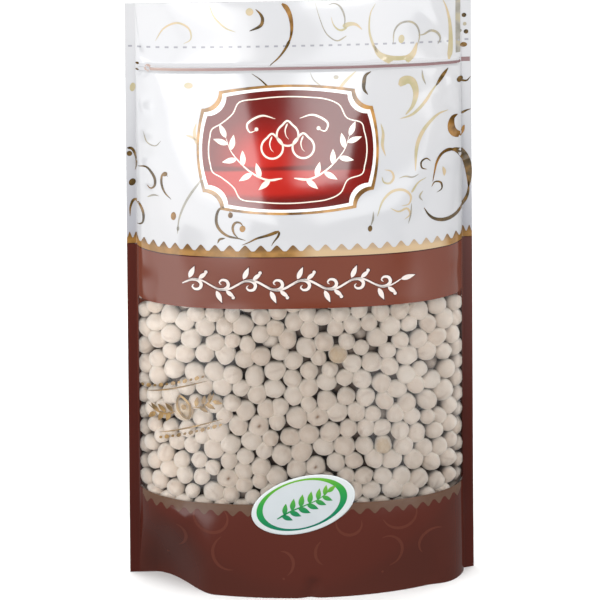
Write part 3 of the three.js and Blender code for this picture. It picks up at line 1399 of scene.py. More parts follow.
@dataclass
class Sticker:
    """The oval paper sticker and its print."""

    film: Film
    half_length: float = 24.5
    half_height: float = 13.4
    tilt: float = 14.5
    centre: Point = (-0.3, 45.4)
    bottom_lift: float = 0.10
    top_lift: float = 0.38
    crown: float = 0.02
    # The rolled-over edge and the flat inside: shares of the oval, with lifts for the edge.
    edge: Points = ((1.006, 0.2), (1.0, 0.32))
    inner_rings: tuple[float, ...] = (0.85, 0.7, 0.55, 0.4, 0.25, 0.12)
    # The ring's outer and inner edge, and the field: shares of the oval, and how far it is shifted.
    ring_outer: tuple[float, float, Point] = (0.88, 0.89, (-0.6, 0.4))
    ring_inner: tuple[float, float, Point] = (0.75, 0.83, (-0.8, 0.4))
    pale_field: tuple[float, float, Point] = (0.77, 0.84, (-0.8, 0.4))
    stem: Points = ((-13.5, -3.4), (-7, -1.6), (0, -0.6), (7, 0.6), (13.0, 3.0))
    leaf_feet: Points = (
        (-10.5, -2.4), (-6.5, -1.4), (-2.2, -0.8), (2.2, -0.2), (6.4, 0.5), (10.0, 1.6),
    )

    def oval(self, long_share: float, high_share: float, shift: Point = (0, 0)) -> Array:
        """An oval in the sticker's own turned frame.

        Args:
            long_share: Its half length, as a share of the sticker's.
            high_share: Its half height, as a share of the sticker's.
            shift: Where its middle lies.

        Returns:
            Points on the film, left round.
        """
        angles = np.linspace(0, 2 * math.pi, 97)[:-1]
        size = np.array([self.half_length * long_share, self.half_height * high_share])
        return self.laid(rays(angles) * size + shift)

    def laid(self, flat: Array) -> Array:
        """Turns points from the sticker's frame to the film's."""
        return np.asarray(flat, float) @ turning(self.tilt) + self.centre

    def green(self, name: str, reach: float, codes: tuple[str, ...]) -> Material:
        """A green ink that runs through its codes from below the middle to as far above it."""
        middle = self.centre[1]
        return Graded(name, middle - reach, middle + reach, codes, 0.2, lean=-0.2).build()

    def build_paper(self) -> Piece:
        """Makes the paper with its rolled-over white edge.

        Returns:
            The piece.
        """
        full = self.top_lift + self.crown
        profile = [(1.0, self.bottom_lift), *self.edge, (0.985, self.top_lift), (0.95, full)]
        profile += [(share, full) for share in self.inner_rings]
        rings = [self.film.place(Side.FRONT, *self.oval(share, share).T, lift) for share, lift in profile]
        count = len(rings[0])
        points = np.concatenate([*rings, self.film.place(Side.FRONT, *self.centre, full)[None]])
        faces = []
        for ring in range(len(rings) - 1):
            a, b = ring * count, (ring + 1) * count
            faces += [(a + i, a + (i + 1) % count, b + (i + 1) % count, b + i) for i in range(count)]
        last = (len(rings) - 1) * count
        faces += [(len(points) - 1, last + i, last + (i + 1) % count) for i in range(count)]
        patches = Patchwork()
        patches.add(points, faces)
        finish = Print("sticker_white", "D6DCDC", "CED4D6", 12, PAPER_ROUGHNESS, PAPER_IOR)
        return patches.make("sticker_paper", finish.build(), Cloth.STICKER)

    def build_ring(self) -> Piece:
        """Makes the green ring, thick at its left and right.

        Returns:
            The piece.
        """
        drawing = Drawing(self.film, lift=self.top_lift + 0.06)
        ring = np.stack([self.oval(*self.ring_inner), self.oval(*self.ring_outer)], 0)
        ring = np.concatenate([ring, ring[:, :1]], 1)
        drawing.sheet(ring, grid_faces(ring.shape[1], 2, flip=True))
        finish = self.green("leaf_green_ink", 12, ("0B6B5C", "12864F", "2B9A3F", "6DB033"))
        return drawing.make("sticker_ring", finish, Cloth.STICKER)

    def build_field(self) -> Piece:
        """Makes the pale grey field inside the ring.

        Returns:
            The piece.
        """
        drawing = Drawing(self.film, lift=self.top_lift + 0.04)
        drawing.fill(self.oval(*self.pale_field), self.centre, 6)
        finish = Print("sticker_field", "BFC6CA", "CBD1D4", 9, PAPER_ROUGHNESS, PAPER_IOR)
        return drawing.make("sticker_field", finish.build(), Cloth.STICKER)

    def build_sprig(self) -> Piece:
        """Makes the generic sprig of leaves and pods in the field.

        Returns:
            The piece.
        """
        drawing = Drawing(self.film, lift=self.top_lift + 0.08)
        drawing.line(self.laid(self.stem), 0.9, Swell.START, least=0.3)
        for step, (x, y) in enumerate(self.leaf_feet):
            size = 6.4 - 0.35 * abs(step - 2)
            for up in (1, -1):
                foot = self.laid((x + 0.6 * up, y))
                drawing.leaf(foot, size, self.tilt + 14 + up * 52, 0.42)
        drawing.leaf(self.laid((12.4, 2.8)), 5.0, self.tilt + 26, 0.42)
        finish = self.green("sprig_green_ink", 9, ("0A6A55", "17844E", "4FA23A", "84B53A"))
        return drawing.make("sticker_sprig", finish, Cloth.STICKER)

    def build(self) -> list[Piece]:
        """Makes all of the sticker's pieces."""
        return [self.build_paper(), self.build_field(), self.build_ring(), self.build_sprig()]


# ---- The print ----


@dataclass
class Plaque:
    """A generic red plaque with keylines and a sprig, in the middle of the head."""

    film: Film
    centre: Point = (-5.6, 215.0)
    half_width: float = 37.0
    half_height: float = 25.0
    scoop: float = 9.0
    sag: float = 2.6
    # The right half's branch, its leaves with their tilts, and its curl, all drawn in a little.
    squeeze: float = 0.92
    branch: Points = ((3, -13), (11, -13.5), (20, -9), (28, -1), (31, 6))
    leaves: tuple[Three, ...] = (
        (9, -13.6, -40), (14, -12.6, 75), (18, -10.4, -30), (22.5, -7, 88),
        (25.5, -3.8, -12), (28.4, 0.4, 100), (30, 3, 20), (31, 6, 66),
    )
    curl: Points = ((6, 14.5), (13, 16), (20, 12.5), (19, 8.5), (15.5, 9.5))
    beans: Points = ((-7.2, 1.2), (7.2, 1.2), (0, 7.0))

    def outline(self, grow: float) -> Array:
        """The plaque's outline: bowed sides between scooped corners.

        Args:
            grow: How far outside the red field it runs.

        Returns:
            Points on the film, left round.
        """
        w, h = self.half_width + grow, self.half_height + grow
        scoop = max(self.scoop - 0.35 * grow, 1.0)
        points = []
        for quarter in range(4):
            side_half, out = ((h, w), (w, h))[quarter % 2]
            reach = side_half - scoop
            along = np.linspace(-reach, reach, 25)
            bowed = out + self.sag * (1 - (along / reach) ** 2)
            edge = np.stack([bowed, along], -1)
            turn = np.radians(np.linspace(270, 180, 10))[1:-1]
            corner = (out, side_half) + scoop * rays(turn)
            points.append(np.vstack([edge, corner]) @ turning(90 * quarter))
        return np.vstack(points) + self.centre

    def build(self) -> list[Piece]:
        """Makes the field, the keylines and the sprig.

        Returns:
            The pieces.
        """
        made = []
        for lift, grow, name, finish in (
            (0.07, 2.5, "plaque_gold", GoldInk("keyline_gold", "634522", "906A38", "B3864C", 9)),
            (0.10, 1.3, "plaque_white", Print("keyline_white", "E9E6E3", "F0EEEC")),
            (0.13, 0.0, "plaque_red", PaintedLightRed("plaque_red_painted_light", self.centre)),
        ):
            drawing = Drawing(self.film, lift=lift)
            drawing.fill(self.outline(grow), self.centre, 10)
            made.append(drawing.make(name, finish.build()))
        sprig = Drawing(self.film, lift=0.16)
        self.draw_sprig(sprig)
        made.append(sprig.make("plaque_sprig", Print("sprig_cream", "F1E9DE", "E8DCCB").build()))
        return made

    def at(self, mirror: int, x: float, y: float) -> Point:
        """A point of the sprig, on the right half for a mirror of 1 and on the left for -1."""
        return (self.centre[0] + mirror * x * self.squeeze, self.centre[1] + y)

    def draw_sprig(self, drawing: Drawing) -> None:
        """Draws an inner keyline, a branch with leaves, and three chickpeas.

        Args:
            drawing: Where it is drawn.
        """
        drawing.line(self.outline(-3.0)[::4], 0.55, Swell.EVEN, closed=True)
        for mirror in (-1, 1):
            drawing.line([self.at(mirror, *point) for point in self.branch], 1.1, Swell.START)
            for x, y, tilt in self.leaves:
                turn = tilt if mirror > 0 else 180 - tilt
                drawing.leaf(self.at(mirror, x, y), 7.2, turn, 0.36)
            drawing.line([self.at(mirror, *point) for point in self.curl], 1.0)
            drawing.dot(self.at(mirror, 15.6, 9.8), 0.9)
        for x, y in self.beans:
            self.draw_bean(drawing, (self.centre[0] + x, self.centre[1] + y))

    def draw_bean(self, drawing: Drawing, centre: Point) -> None:
        """Draws one chickpea as a round with a beak and a crease.

        Args:
            drawing: Where it is drawn.
            centre: The chickpea's middle.
        """
        angles = np.radians(np.linspace(0, 360, 33)[:-1])
        far = 5.0 + 1.5 * np.exp(-(((angles - math.pi / 2) / 0.3) ** 2))
        ring = rays(angles) * far[:, None] + centre
        drawing.line(ring, 0.9, Swell.EVEN, closed=True)
        x, y = centre
        crease = [(x, y + 5.2), (x - 1.1, y + 2.2), (x - 0.6, y - 0.6), (x + 0.6, y - 2.0)]
        drawing.line(crease, 0.8, Swell.START)


@dataclass
class Borders:
    """The toothed borders above the band and below the window, and the tear line."""

    film: Film
    border: float
    window: Three
    pitch: float = 7.6
    wrap: float = 84.0
    tooth: float = 2.9
    stripe: float = 2.9
    # The border under the window: its gap to it, its stripe, its teeth and half its length.
    foot_gap: float = 0.6
    foot_stripe: float = 3.2
    foot_tooth: float = 2.6
    foot_reach: float = 74.0
    tooth_steps: int = 12
    tear_height: float = 263.0
    dash: float = 1.8
    dash_pitch: float = 4.2
    # The zipper's track: where it starts and ends, and the mark before it with its radius.
    track: Point = (-68.5, 79.3)
    mark: Point = (-69.6, 1.3)

    def teeth(self, drawing: Drawing, base: float, up: int, stripe: float, tooth: float, half: float) -> None:
        """Draws a stripe with a row of teeth on it, closer together where the film curves back.

        Args:
            drawing: Where it is drawn.
            base: The height of the stripe's plain edge.
            up: 1 for teeth that point up, and -1 for down.
            stripe: The stripe's height.
            tooth: The teeth's height over it.
            half: Half the row's length.
        """
        reach = math.asin(half / self.wrap) * self.wrap
        count = round(2 * reach / self.pitch)
        steps = np.arange(count * self.tooth_steps + 1) / self.tooth_steps
        xs = self.wrap * np.sin((steps / count * 2 - 1) * reach / self.wrap)
        phase = np.abs(steps % 1 - 0.5) * 2
        tip = stripe + tooth * np.clip(1.12 - phase * 1.45, 0, 1) ** 0.9
        rows = np.stack([np.zeros_like(tip), tip * 0.5, tip], 0) * up + base
        flat = np.stack([np.broadcast_to(xs, rows.shape), rows], -1)
        drawing.sheet(flat, grid_faces(len(xs), 3, flip=up < 0))

    def build(self) -> list[Piece]:
        """Makes the borders, the tear line and the zipper's coloured track.

        Returns:
            The pieces.
        """
        reach = self.film.half_width - 0.1
        gold = Drawing(self.film, lift=0.05)
        for face in gold.both_sides():
            self.teeth(face, self.border - 0.1, 1, self.stripe, self.tooth, reach)
        line = Drawing(self.film, lift=0.07)
        line.line([(x, self.border - 0.25) for x in np.linspace(-79.5, 79.5, 9)], 0.55, Swell.EVEN)
        # The teeth under the window: the gold muted, partly a translucent print and partly painted shade.
        dull = Drawing(self.film, lift=0.05)
        base = self.window[1] + self.foot_gap
        self.teeth(dull, base, -1, self.foot_stripe, self.foot_tooth, self.foot_reach)
        return [
            gold.make("gold_border", BorderGold("border_gold").build()),
            line.make("border_shade", Print("border_brown", "3A170D", "45190E").build()),
            dull.make("foot_border", Print("shaded_gold_ink", "6C5242", "5C4234", 6, roughness=0.2).build()),
            self.build_tear_line(),
            self.build_track(),
        ]

    def build_tear_line(self) -> Piece:
        """Makes the dashed line under the top edge, on both films.

        Returns:
            The piece.
        """
        tear = Drawing(self.film, lift=0.05)
        for face in tear.both_sides():
            for start in np.arange(-78.5, 77, self.dash_pitch):
                dash = [(start + step * self.dash / 2, self.tear_height) for step in range(3)]
                face.line(dash, 0.9, Swell.EVEN)
        return tear.make("tear_line", Print("tear_line_grey", "85858C", "A2A2A8", patch=11).build())

    def build_track(self) -> Piece:
        """Makes the zipper's rosy track and the mark that it starts with.

        Returns:
            The piece.
        """
        zipper = self.film.zipper[0]
        height = zipper + 0.2
        middle, radius = self.mark
        turns = np.arange(8) * math.pi / 4
        ring = radius * rays(turns) + (middle, height)
        track = Drawing(self.film, lift=0.04)
        for face in track.both_sides():
            face.line([(x, height) for x in np.linspace(*self.track, 12)], 2.2, Swell.EVEN)
            face.line(ring, 0.9, Swell.EVEN, closed=True)
        tones = ("B49F95", "A28A86", "8C7273", "846A6B")
        finish = Graded("zipper_rose", zipper - 75, zipper + 15, tones, lean=1.0)
        return track.make("zipper_track", finish.build())


@dataclass(frozen=True)
class BorderGold:
    """The border's gold, with a painted reflection that turns it cream along the front's right half."""

    name: str
    dark: str = "583A18"
    rich: str = "85602A"
    light: str = "9B7138"
    glare_cream: str = "BCA27F"
    glare_tip: str = "A08A72"
    # The teeth's heights over which the ink darkens, and how much.
    tip_span: Point = (168.2, 171.4)
    tip_share: float = 0.8
    # Where along the border the painted reflection turns the gold cream, and where the gold is back.
    glare_from: Point = (-4.0, 9.0)
    glare_to: Point = (66.0, 71.0)
    wander: float = 3.0

    def build(self) -> Material:
        """Makes the material: darker towards the teeth's tips, and paler to the right on the front, as a
        painted reflection.

        Returns:
            The material.
        """
        board = Board(self.name)
        x, y, z = board.axes()
        tone = board.ramp(board.noise(5.0, 2.0), (0.38, ink(self.rich)), (0.62, ink(self.light)))
        wander = board.product(board.noise(9.0, 1.0), self.wander)
        tip = board.slide(board.reckon("ADD", z, wander), *self.tip_span, 0.0, self.tip_share)
        gold = board.mix(tip, tone, ink(self.dark))
        # Painted reflection: cream, darker at the teeth's tips, over the front's right half.
        pale = board.mix(tip, ink(self.glare_cream), ink(self.glare_tip))
        along = board.reckon("ADD", x, wander)
        right = board.slide(along, *self.glare_from)
        left_again = board.slide(along, *self.glare_to, 1.0, 0.0)
        front = board.slide(y, -0.5, 0.0, 1.0, 0.0)
        colour = board.mix(board.product(right, left_again, front), gold, pale)
        return board.laminate(colour, 0.1)


@dataclass(frozen=True)
class Stroke:
    """One swelling line of the scrollwork."""

    width: float
    points: Points
    swell: Swell = Swell.MIDDLE


@dataclass(frozen=True)
class Spot:
    """One filled drop of the scrollwork."""

    centre: Point
    radius: float
    squash: float = 1.0
    turn: float = 0.0


# Each ink's strokes, from the head's middle over its right side to its left.
GOLD_STROKES = (
    Stroke(2.5, ((-7.4, 283), (-5.2, 280.8), (-3.5, 276.5), (-3, 271), (-3.9, 266), (-6, 262)), Swell.START),
    Stroke(3.6, (
        (73.4, 227), (71.2, 226), (70.3, 223.2), (70.8, 220), (72.8, 217.6), (75.2, 217.4), (76.6, 220.4),
    )),
    Stroke(1.8, (
        (61.4, 197), (62.4, 202), (63.4, 206), (65.4, 209.3), (68.2, 210.9), (71.4, 210.8),
    ), Swell.END),
)
OLIVE_STROKES = (
    Stroke(1.6, ((-19.6, 280.6), (-17.4, 278.3), (-16.4, 275.6), (-17.6, 272.6), (-22.6, 270.3))),
    Stroke(1.5, ((-3.9, 266), (-6, 261.8), (-9.4, 257.4), (-13.8, 253.8)), Swell.START),
    Stroke(1.2, ((-21.8, 250.4), (-18.2, 247.9), (-14.6, 244.5), (-12.2, 241.6), (-11.2, 239.5)), Swell.END),
    Stroke(1.8, ((33.4, 250.2), (30.8, 248.4), (30, 245), (30.1, 242), (31.8, 239.6))),
    Stroke(1.8, ((69.2, 250), (67.4, 247.7), (65, 244.4), (63.4, 242))),
    Stroke(1.4, ((79.6, 244.6), (78, 242.6), (76, 242.6), (74.3, 243.6)), Swell.END),
    Stroke(1.5, ((79.6, 228.4), (77.4, 227.6), (75.2, 226.4)), Swell.END),
    Stroke(3.6, ((69, 211), (72.4, 210.2), (75.6, 206.9), (77.8, 202), (78.7, 195.6), (78.5, 189.6))),
    Stroke(1.9, (
        (78.6, 193), (78.2, 187), (76.4, 182.8), (73.6, 180), (70, 178.3), (66, 178), (62, 179.3),
        (59.2, 181.8), (57.2, 185.2),
    )),
    Stroke(1.3, ((35.6, 208.4), (34.3, 205.2), (31.6, 203.2), (28.2, 203))),
    Stroke(0.9, ((60.6, 206.8), (58.6, 208.4), (56.2, 207), (56.4, 204.2), (58.8, 203.2))),
    Stroke(0.9, ((63.2, 191.6), (65.6, 193), (65.2, 196), (62.4, 196.8), (60.8, 194.6))),
    Stroke(1.6, ((-79.4, 212.4), (-77.2, 212), (-75.7, 209), (-75.2, 205), (-75.8, 201.4)), Swell.START),
    Stroke(1.3, (
        (-74.6, 204.4), (-71.2, 205.4), (-68.6, 203.2), (-67, 200), (-67.2, 196.8), (-69, 195.3),
        (-70.6, 196.6),
    )),
    Stroke(1.1, ((-61.2, 201.8), (-62.2, 203.8), (-63.8, 202), (-63.9, 197.8), (-62.4, 194), (-59.6, 191.2))),
    Stroke(1.4, (
        (-78.4, 178.4), (-78.2, 183), (-76.6, 186.6), (-74, 186), (-72.4, 182), (-72.8, 177.6),
        (-75.2, 175.4),
    )),
    Stroke(1.4, (
        (-32.6, 185.4), (-33, 187.6), (-35, 188.8), (-37.8, 187.5), (-39, 184), (-38.8, 180.5),
        (-37, 177.4), (-33.6, 175), (-29, 174), (-25.6, 173),
    )),
    Stroke(1.2, ((-26.6, 179.4), (-28, 181.4), (-30.2, 181.5), (-31.5, 179.4), (-31, 176.4), (-29, 174.2))),
    Stroke(1.1, ((-38.6, 171.4), (-37.6, 173.4), (-35, 174))),
    Stroke(1.7, ((-27.4, 170.8), (-24, 172.2), (-20.5, 174), (-15, 175.6), (-10.2, 177.4)), Swell.END),
    Stroke(1.3, ((-10, 177.2), (-10.6, 175), (-12.6, 172.4), (-13.8, 170.4)), Swell.START),
)
PALE_STROKES = (
    Stroke(1.2, ((15.3, 276.2), (16, 273.3), (17.6, 270.9), (19.8, 269.9), (22.4, 271)), Swell.END),
    Stroke(2.6, ((20.6, 271.6), (24, 272.8), (27, 272.3), (29.4, 270)), Swell.START),
    Stroke(1.4, ((26.5, 250.6), (22, 246.6), (19, 243), (16.6, 238.4))),
    Stroke(1.4, ((35.8, 282), (33.6, 278), (32.8, 273), (33, 268), (34.6, 262.5), (36.5, 259)), Swell.END),
    Stroke(3.8, ((34.6, 262.5), (37.5, 257.9), (43, 255.4), (49.5, 255.4), (53, 258), (54.8, 263))),
    Stroke(2.6, ((67, 283), (68.6, 279), (69.9, 273), (70.4, 266), (70.2, 259), (69.5, 254.4)), Swell.END),
    Stroke(4.4, (
        (46.4, 243.2), (49, 245.6), (52, 245.2), (53.7, 242), (53.9, 238), (52.4, 233.4), (49.2, 229.6),
    ), Swell.START),
    Stroke(1.5, ((64.6, 243.8), (61.6, 240), (58.8, 235.8), (55.2, 231.8), (51.6, 229.2), (46.6, 227.8))),
    Stroke(1.8, (
        (69, 229.9), (64.6, 228.8), (60.6, 225.6), (57.4, 221.8), (55, 217.2), (53.8, 212), (53.4, 203),
    )),
    Stroke(1.6, ((66.2, 203.4), (66.9, 201), (66.8, 198.8))),
    Stroke(1.4, ((37.6, 226), (38.6, 221.4), (38.2, 215.8), (39.6, 211))),
    Stroke(1.3, (
        (35.4, 183), (38, 190), (42.4, 194.2), (47.6, 194.6), (51, 191.6), (50.2, 187.8), (46.8, 187.2),
    )),
    Stroke(1.2, ((51.4, 193), (54.6, 197.4), (58.4, 199.4)), Swell.START),
    Stroke(1.1, ((39, 204.6), (42.2, 203.6), (43.2, 200.6), (41.4, 198.2), (38.6, 198.8), (37.8, 201.4))),
    Stroke(1.0, ((41.6, 186.4), (45.4, 184.6), (49.2, 185.8), (50.6, 182.8), (48, 180.6))),
    Stroke(1.6, ((-47.6, 227.6), (-48.6, 223.4), (-47.6, 219), (-45, 215.4), (-43.4, 213.6))),
    Stroke(1.1, ((-52.6, 221.8), (-50, 221.2), (-47.4, 219.4))),
    Stroke(1.0, ((-66, 266), (-62, 272), (-56, 274.6), (-50.6, 272), (-49.6, 267), (-53, 264.6))),
    Stroke(1.0, ((-41, 282.8), (-38.6, 277), (-33.6, 272), (-29, 270))),
)
GREY_STROKES = (
    Stroke(0.8, (
        (8, 283), (9, 279), (10.2, 275), (11.8, 270.6), (14, 267.3), (18, 265), (22.3, 267.2),
    ), Swell.END),
    Stroke(0.9, ((14, 282), (16.8, 282.6), (19.3, 281.2), (20.9, 278.3), (21.6, 274.8), (21.2, 271.4))),
    Stroke(0.6, ((5.2, 250.5), (7, 246.8), (11.2, 243.4))),
    Stroke(1.0, (
        (43.8, 262.6), (44.2, 268), (46, 271.4), (49, 273), (52.6, 272.8), (55.2, 270.2), (56, 266),
        (55, 261.6),
    )),
    Stroke(1.2, ((55.4, 266.4), (58, 266.8), (61.2, 268.5), (64.2, 267.4), (65.6, 264.6), (64.4, 261.8))),
    Stroke(0.9, ((57, 250), (57.4, 246.4), (58.7, 243))),
    Stroke(2.2, ((73.9, 283.2), (73.8, 272), (73.8, 257)), Swell.EVEN),
    Stroke(0.8, ((45.6, 200.2), (48.6, 200.9), (52, 200.2), (55, 201.4))),
    Stroke(0.9, ((56.8, 193.4), (55.2, 190.8), (56.6, 188.6))),
    Stroke(0.7, ((49.8, 178.4), (51, 183), (51.4, 188))),
    Stroke(0.9, ((32.3, 178.6), (33.4, 181.8), (33.6, 185.4))),
    Stroke(1.1, (
        (-40.4, 208.8), (-43.6, 204.2), (-47, 199.6), (-51, 194), (-54, 188.4), (-56.2, 182), (-57, 175),
    )),
    Stroke(0.9, ((-70.6, 190.8), (-67.6, 192.4), (-65.2, 192.2))),
    Stroke(0.7, ((-72, 222), (-70.4, 217.4), (-66.6, 216), (-64, 218.6))),
)
GOLD_SPOTS = (
    Spot((-58.7, 183.4), 2.0, 0.6, 84), Spot((-32.5, 185), 1.4, 0.8, 80), Spot((-27, 178.6), 1.6, 0.85, 70),
)
OLIVE_SPOTS = (
    Spot((74.6, 243.8), 1.5), Spot((-62.4, 203), 1.3, 0.8, 40), Spot((-77.2, 195.4), 1.9, 0.8, 60),
    Spot((-78.4, 209.6), 1.3), Spot((32, 177.4), 1.5, 0.7, 84), Spot((76.7, 275), 1.1),
    Spot((77.6, 266.8), 1.1), Spot((76.4, 260.4), 1.7, 0.7), Spot((-74.4, 254.9), 0.8, 0.7),
    Spot((-74.5, 251.9), 0.8, 0.6),
)
PALE_SPOTS = (
    Spot((-22.4, 279.4), 1.8), Spot((47.6, 265), 2.0, 0.7, 80), Spot((-51, 245), 2.0, 0.7),
    Spot((-76.6, 242.6), 2.2, 0.6, 80),
)
GREY_SPOTS = (
    Spot((-56.7, 177.6), 1.2, 0.5, 84), Spot((17.2, 248), 1.2, 0.8), Spot((77, 270.6), 0.9),
    Spot((74.8, 267.4), 0.8),
)


@dataclass
class Scrollwork:
    """The gold and pale scrolls on the head, and the faint ones on the brown foot."""

    film: Film
    # The strokes that are drawn on the back keep to this span, and so do their mirror images.
    paired: Point = (4, 72)
    # The foot's curls: the middle, the radius, the first angle and the sweep of each.
    curls: tuple[tuple[float, ...], ...] = (
        (-42, 39, 9.5, 150, 250), (-33, 20, 11, 120, 150), (-12, 18, 8, -60, 140),
        (22, 36, 7.5, 170, 200), (46, 40, 10, 200, 170), (38, 22, 9, -80, 190),
        (12, 20, 8.5, 120, 110), (-62, 28, 9, -60, 120), (60, 20, 9, 60, 150),
    )
    shrink: float = 0.62
    foot_dots: Points = ((-9.8, 9.5), (36.3, 10.5), (-62.5, 13.5))

    def build(self) -> list[Piece]:
        """Makes one piece of each ink, on the front and mirrored in pairs on the back.

        Returns:
            The pieces.
        """
        made = []
        for name, finish, strokes, spots in (
            ("gold", GoldInk("scroll_gold", "523813", "7A5626", "966D34", 6), GOLD_STROKES, GOLD_SPOTS),
            ("olive", GoldInk("scroll_bronze", "3B2E14", "54401F", "75572A", 5), OLIVE_STROKES, OLIVE_SPOTS),
            ("pale", GoldInk("scroll_cream", "A79F7C", "B2A688", "BDA98A", 9), PALE_STROKES, PALE_SPOTS),
            ("grey", GoldInk("scroll_grey", "827F74", "949087", "A29A84", 6), GREY_STROKES, GREY_SPOTS),
        ):
            front = Drawing(self.film, lift=0.06)
            back = Drawing(self.film, Side.BACK, 0.06, front.patches)
            for stroke in strokes:
                front.line(stroke.points, stroke.width, stroke.swell)
                self.pair(back, stroke)
            for spot in spots:
                front.dot(spot.centre, spot.radius, spot.squash, spot.turn)
            made.append(front.make(f"scrolls_{name}", finish.build()))
        return made + [self.build_foot()]

    def pair(self, drawing: Drawing, stroke: Stroke) -> None:
        """Draws a stroke of the right half and its mirror image.

        Args:
            drawing: Where they are drawn.
            stroke: The stroke.
        """
        low, high = self.paired
        if any(not low <= u <= high for u, _ in stroke.points):
            return
        for mirror in (1, -1):
            points = [(mirror * u, v) for u, v in stroke.points]
            drawing.line(points, stroke.width, stroke.swell)

    def build_foot(self) -> Piece:
        """Makes the faint scrolls of the brown foot.

        Returns:
            The piece.
        """
        front = Drawing(self.film, lift=0.04)
        shares = np.linspace(1.0, self.shrink, 9)
        for face in front.both_sides():
            for u, v, radius, start, sweep in self.curls:
                turns = np.radians(np.linspace(start, start + sweep, 9))
                face.line(rays(turns) * radius * shares[:, None] + (u, v), 1.5)
        for centre in self.foot_dots:
            front.dot(centre, 0.55)
        return front.make("foot_scrolls", Print("foot_scroll_ink", "68352A", "5C2C1F", roughness=0.1).build())


@dataclass
class BandVine:
    """A white vine along the brown band, with a dark keyline."""

    film: Film
    start: float = -55.0
    end: float = 46.0
    height: float = 151.5
    wave: float = 2.4
    length: float = 25.0
    curl: Points = (
        (-5, -1.2), (-2.2, 0.4), (0.6, 0.4), (2.4, -1.4),
        (1.6, -3.6), (-0.6, -4.0), (-1.8, -2.6), (-0.8, -1.7),
    )

    def stem(self, u: float) -> float:
        """The height of the vine's stem at a place across the film."""
        return self.height + self.wave * math.sin(2 * math.pi * (u - self.start) / self.length)

    def draw(self, drawing: Drawing, grow: float) -> None:
        """Draws the stem, the leaves and the curls.

        Args:
            drawing: Where they are drawn.
            grow: How much wider everything is drawn.
        """
        stem = [(u, self.stem(u)) for u in np.linspace(self.start, self.end, 33)]
        drawing.line(stem, 1.1 + grow, least=0.5)
        half = self.length / 2
        count = int((self.end - self.start) / half)
        for number in range(count):
            up = 1 if number % 2 == 0 else -1
            u = self.start + half * (number + 0.5)
            v = self.stem(u)
            drawing.line([(u + x, v + up * (y - 0.8)) for x, y in self.curl], 1.5 + grow)
            drawing.leaf((u - 3.2, v + up * 0.4), 6.4 + grow, up * 66, 0.36 + 0.05 * grow)
            drawing.leaf((u + 1.2, v + up * 0.2), 5.4 + grow, up * 40, 0.36 + 0.05 * grow)
            drawing.dot((u + 4.6, v + up * 3.6), 0.8 + grow / 2)
        drawing.leaf((self.end, self.stem(self.end)), 7 + grow, 12, 0.34)

    def build(self) -> list[Piece]:
        """Makes the keyline and the white vine over it.

        Returns:
            The pieces.
        """
        shade = Drawing(self.film, lift=0.05)
        self.draw(shade, 0.8)
        white = Drawing(self.film, lift=0.08)
        self.draw(white, 0.0)
        return [
            shade.make("vine_keyline", Print("vine_brown", "4A170E", "3E120A").build()),
            white.make("band_vine", Print("vine_white", "E6DCD6", "D8CCC6", patch=8).build()),
        ]


@dataclass
class WindowMark:
    """A gold leaf ornament printed on the clear window."""

    film: Film
    centre: Point = (-55.0, 91.0)
    slant: float = 19.0
    reach: float = 15.5
    # The right half's stem, its leaves' feet with their tilts, and the whole lozenge.
    stem: Points = ((4.2, -1), (8.5, -1.8), (13, 0.2), (16, 3.4))
    leaves: Points = ((5.6, 64), (9, 60), (12.2, 64), (7.2, -54), (10.5, -48), (13.8, -32))
    lozenge: Points = ((0, 5.6), (-3.0, 0), (0, -5.6), (3.0, 0))

    def at(self, x: float, y: float) -> Point:
        """A point of the ornament, on the film."""
        turned = np.array([[x, y]]) @ turning(self.slant)
        return (float(turned[0, 0] + self.centre[0]), float(turned[0, 1] + self.centre[1]))

    def build(self) -> Piece:
        """Makes the sprigs, the lozenge between them, and a beaded line over and under them.

        Returns:
            The piece.
        """
        drawing = Drawing(self.film, lift=0.06)
        for mirror in (-1, 1):
            drawing.line([self.at(mirror * x, y) for x, y in self.stem], 0.9)
            for x, tilt in self.leaves:
                turn = (tilt if mirror > 0 else 180 - tilt) + self.slant
                drawing.leaf(self.at(mirror * x, -1.0 + 0.12 * max(x - 8, 0)), 5.0, turn, 0.42)
        drawing.line([self.at(*point) for point in self.lozenge], 1.1, Swell.EVEN, closed=True)
        drawing.dot(self.at(0, 0), 1.2)
        for row in (-12.2, 12.0):
            for step, x in enumerate(np.arange(-self.reach, self.reach + 0.1, 2.9)):
                drawing.dot(self.at(float(x), row), 1.25 if step % 2 else 0.8, 0.7, 45)
            line = [self.at(x, row - math.copysign(2.4, row)) for x in (-self.reach, 0, self.reach)]
            drawing.line(line, 0.7)
        finish = GoldInk("window_gold", "6B573A", "8A6E48", "A98A5C", 6)
        return drawing.make("window_mark", finish.build())


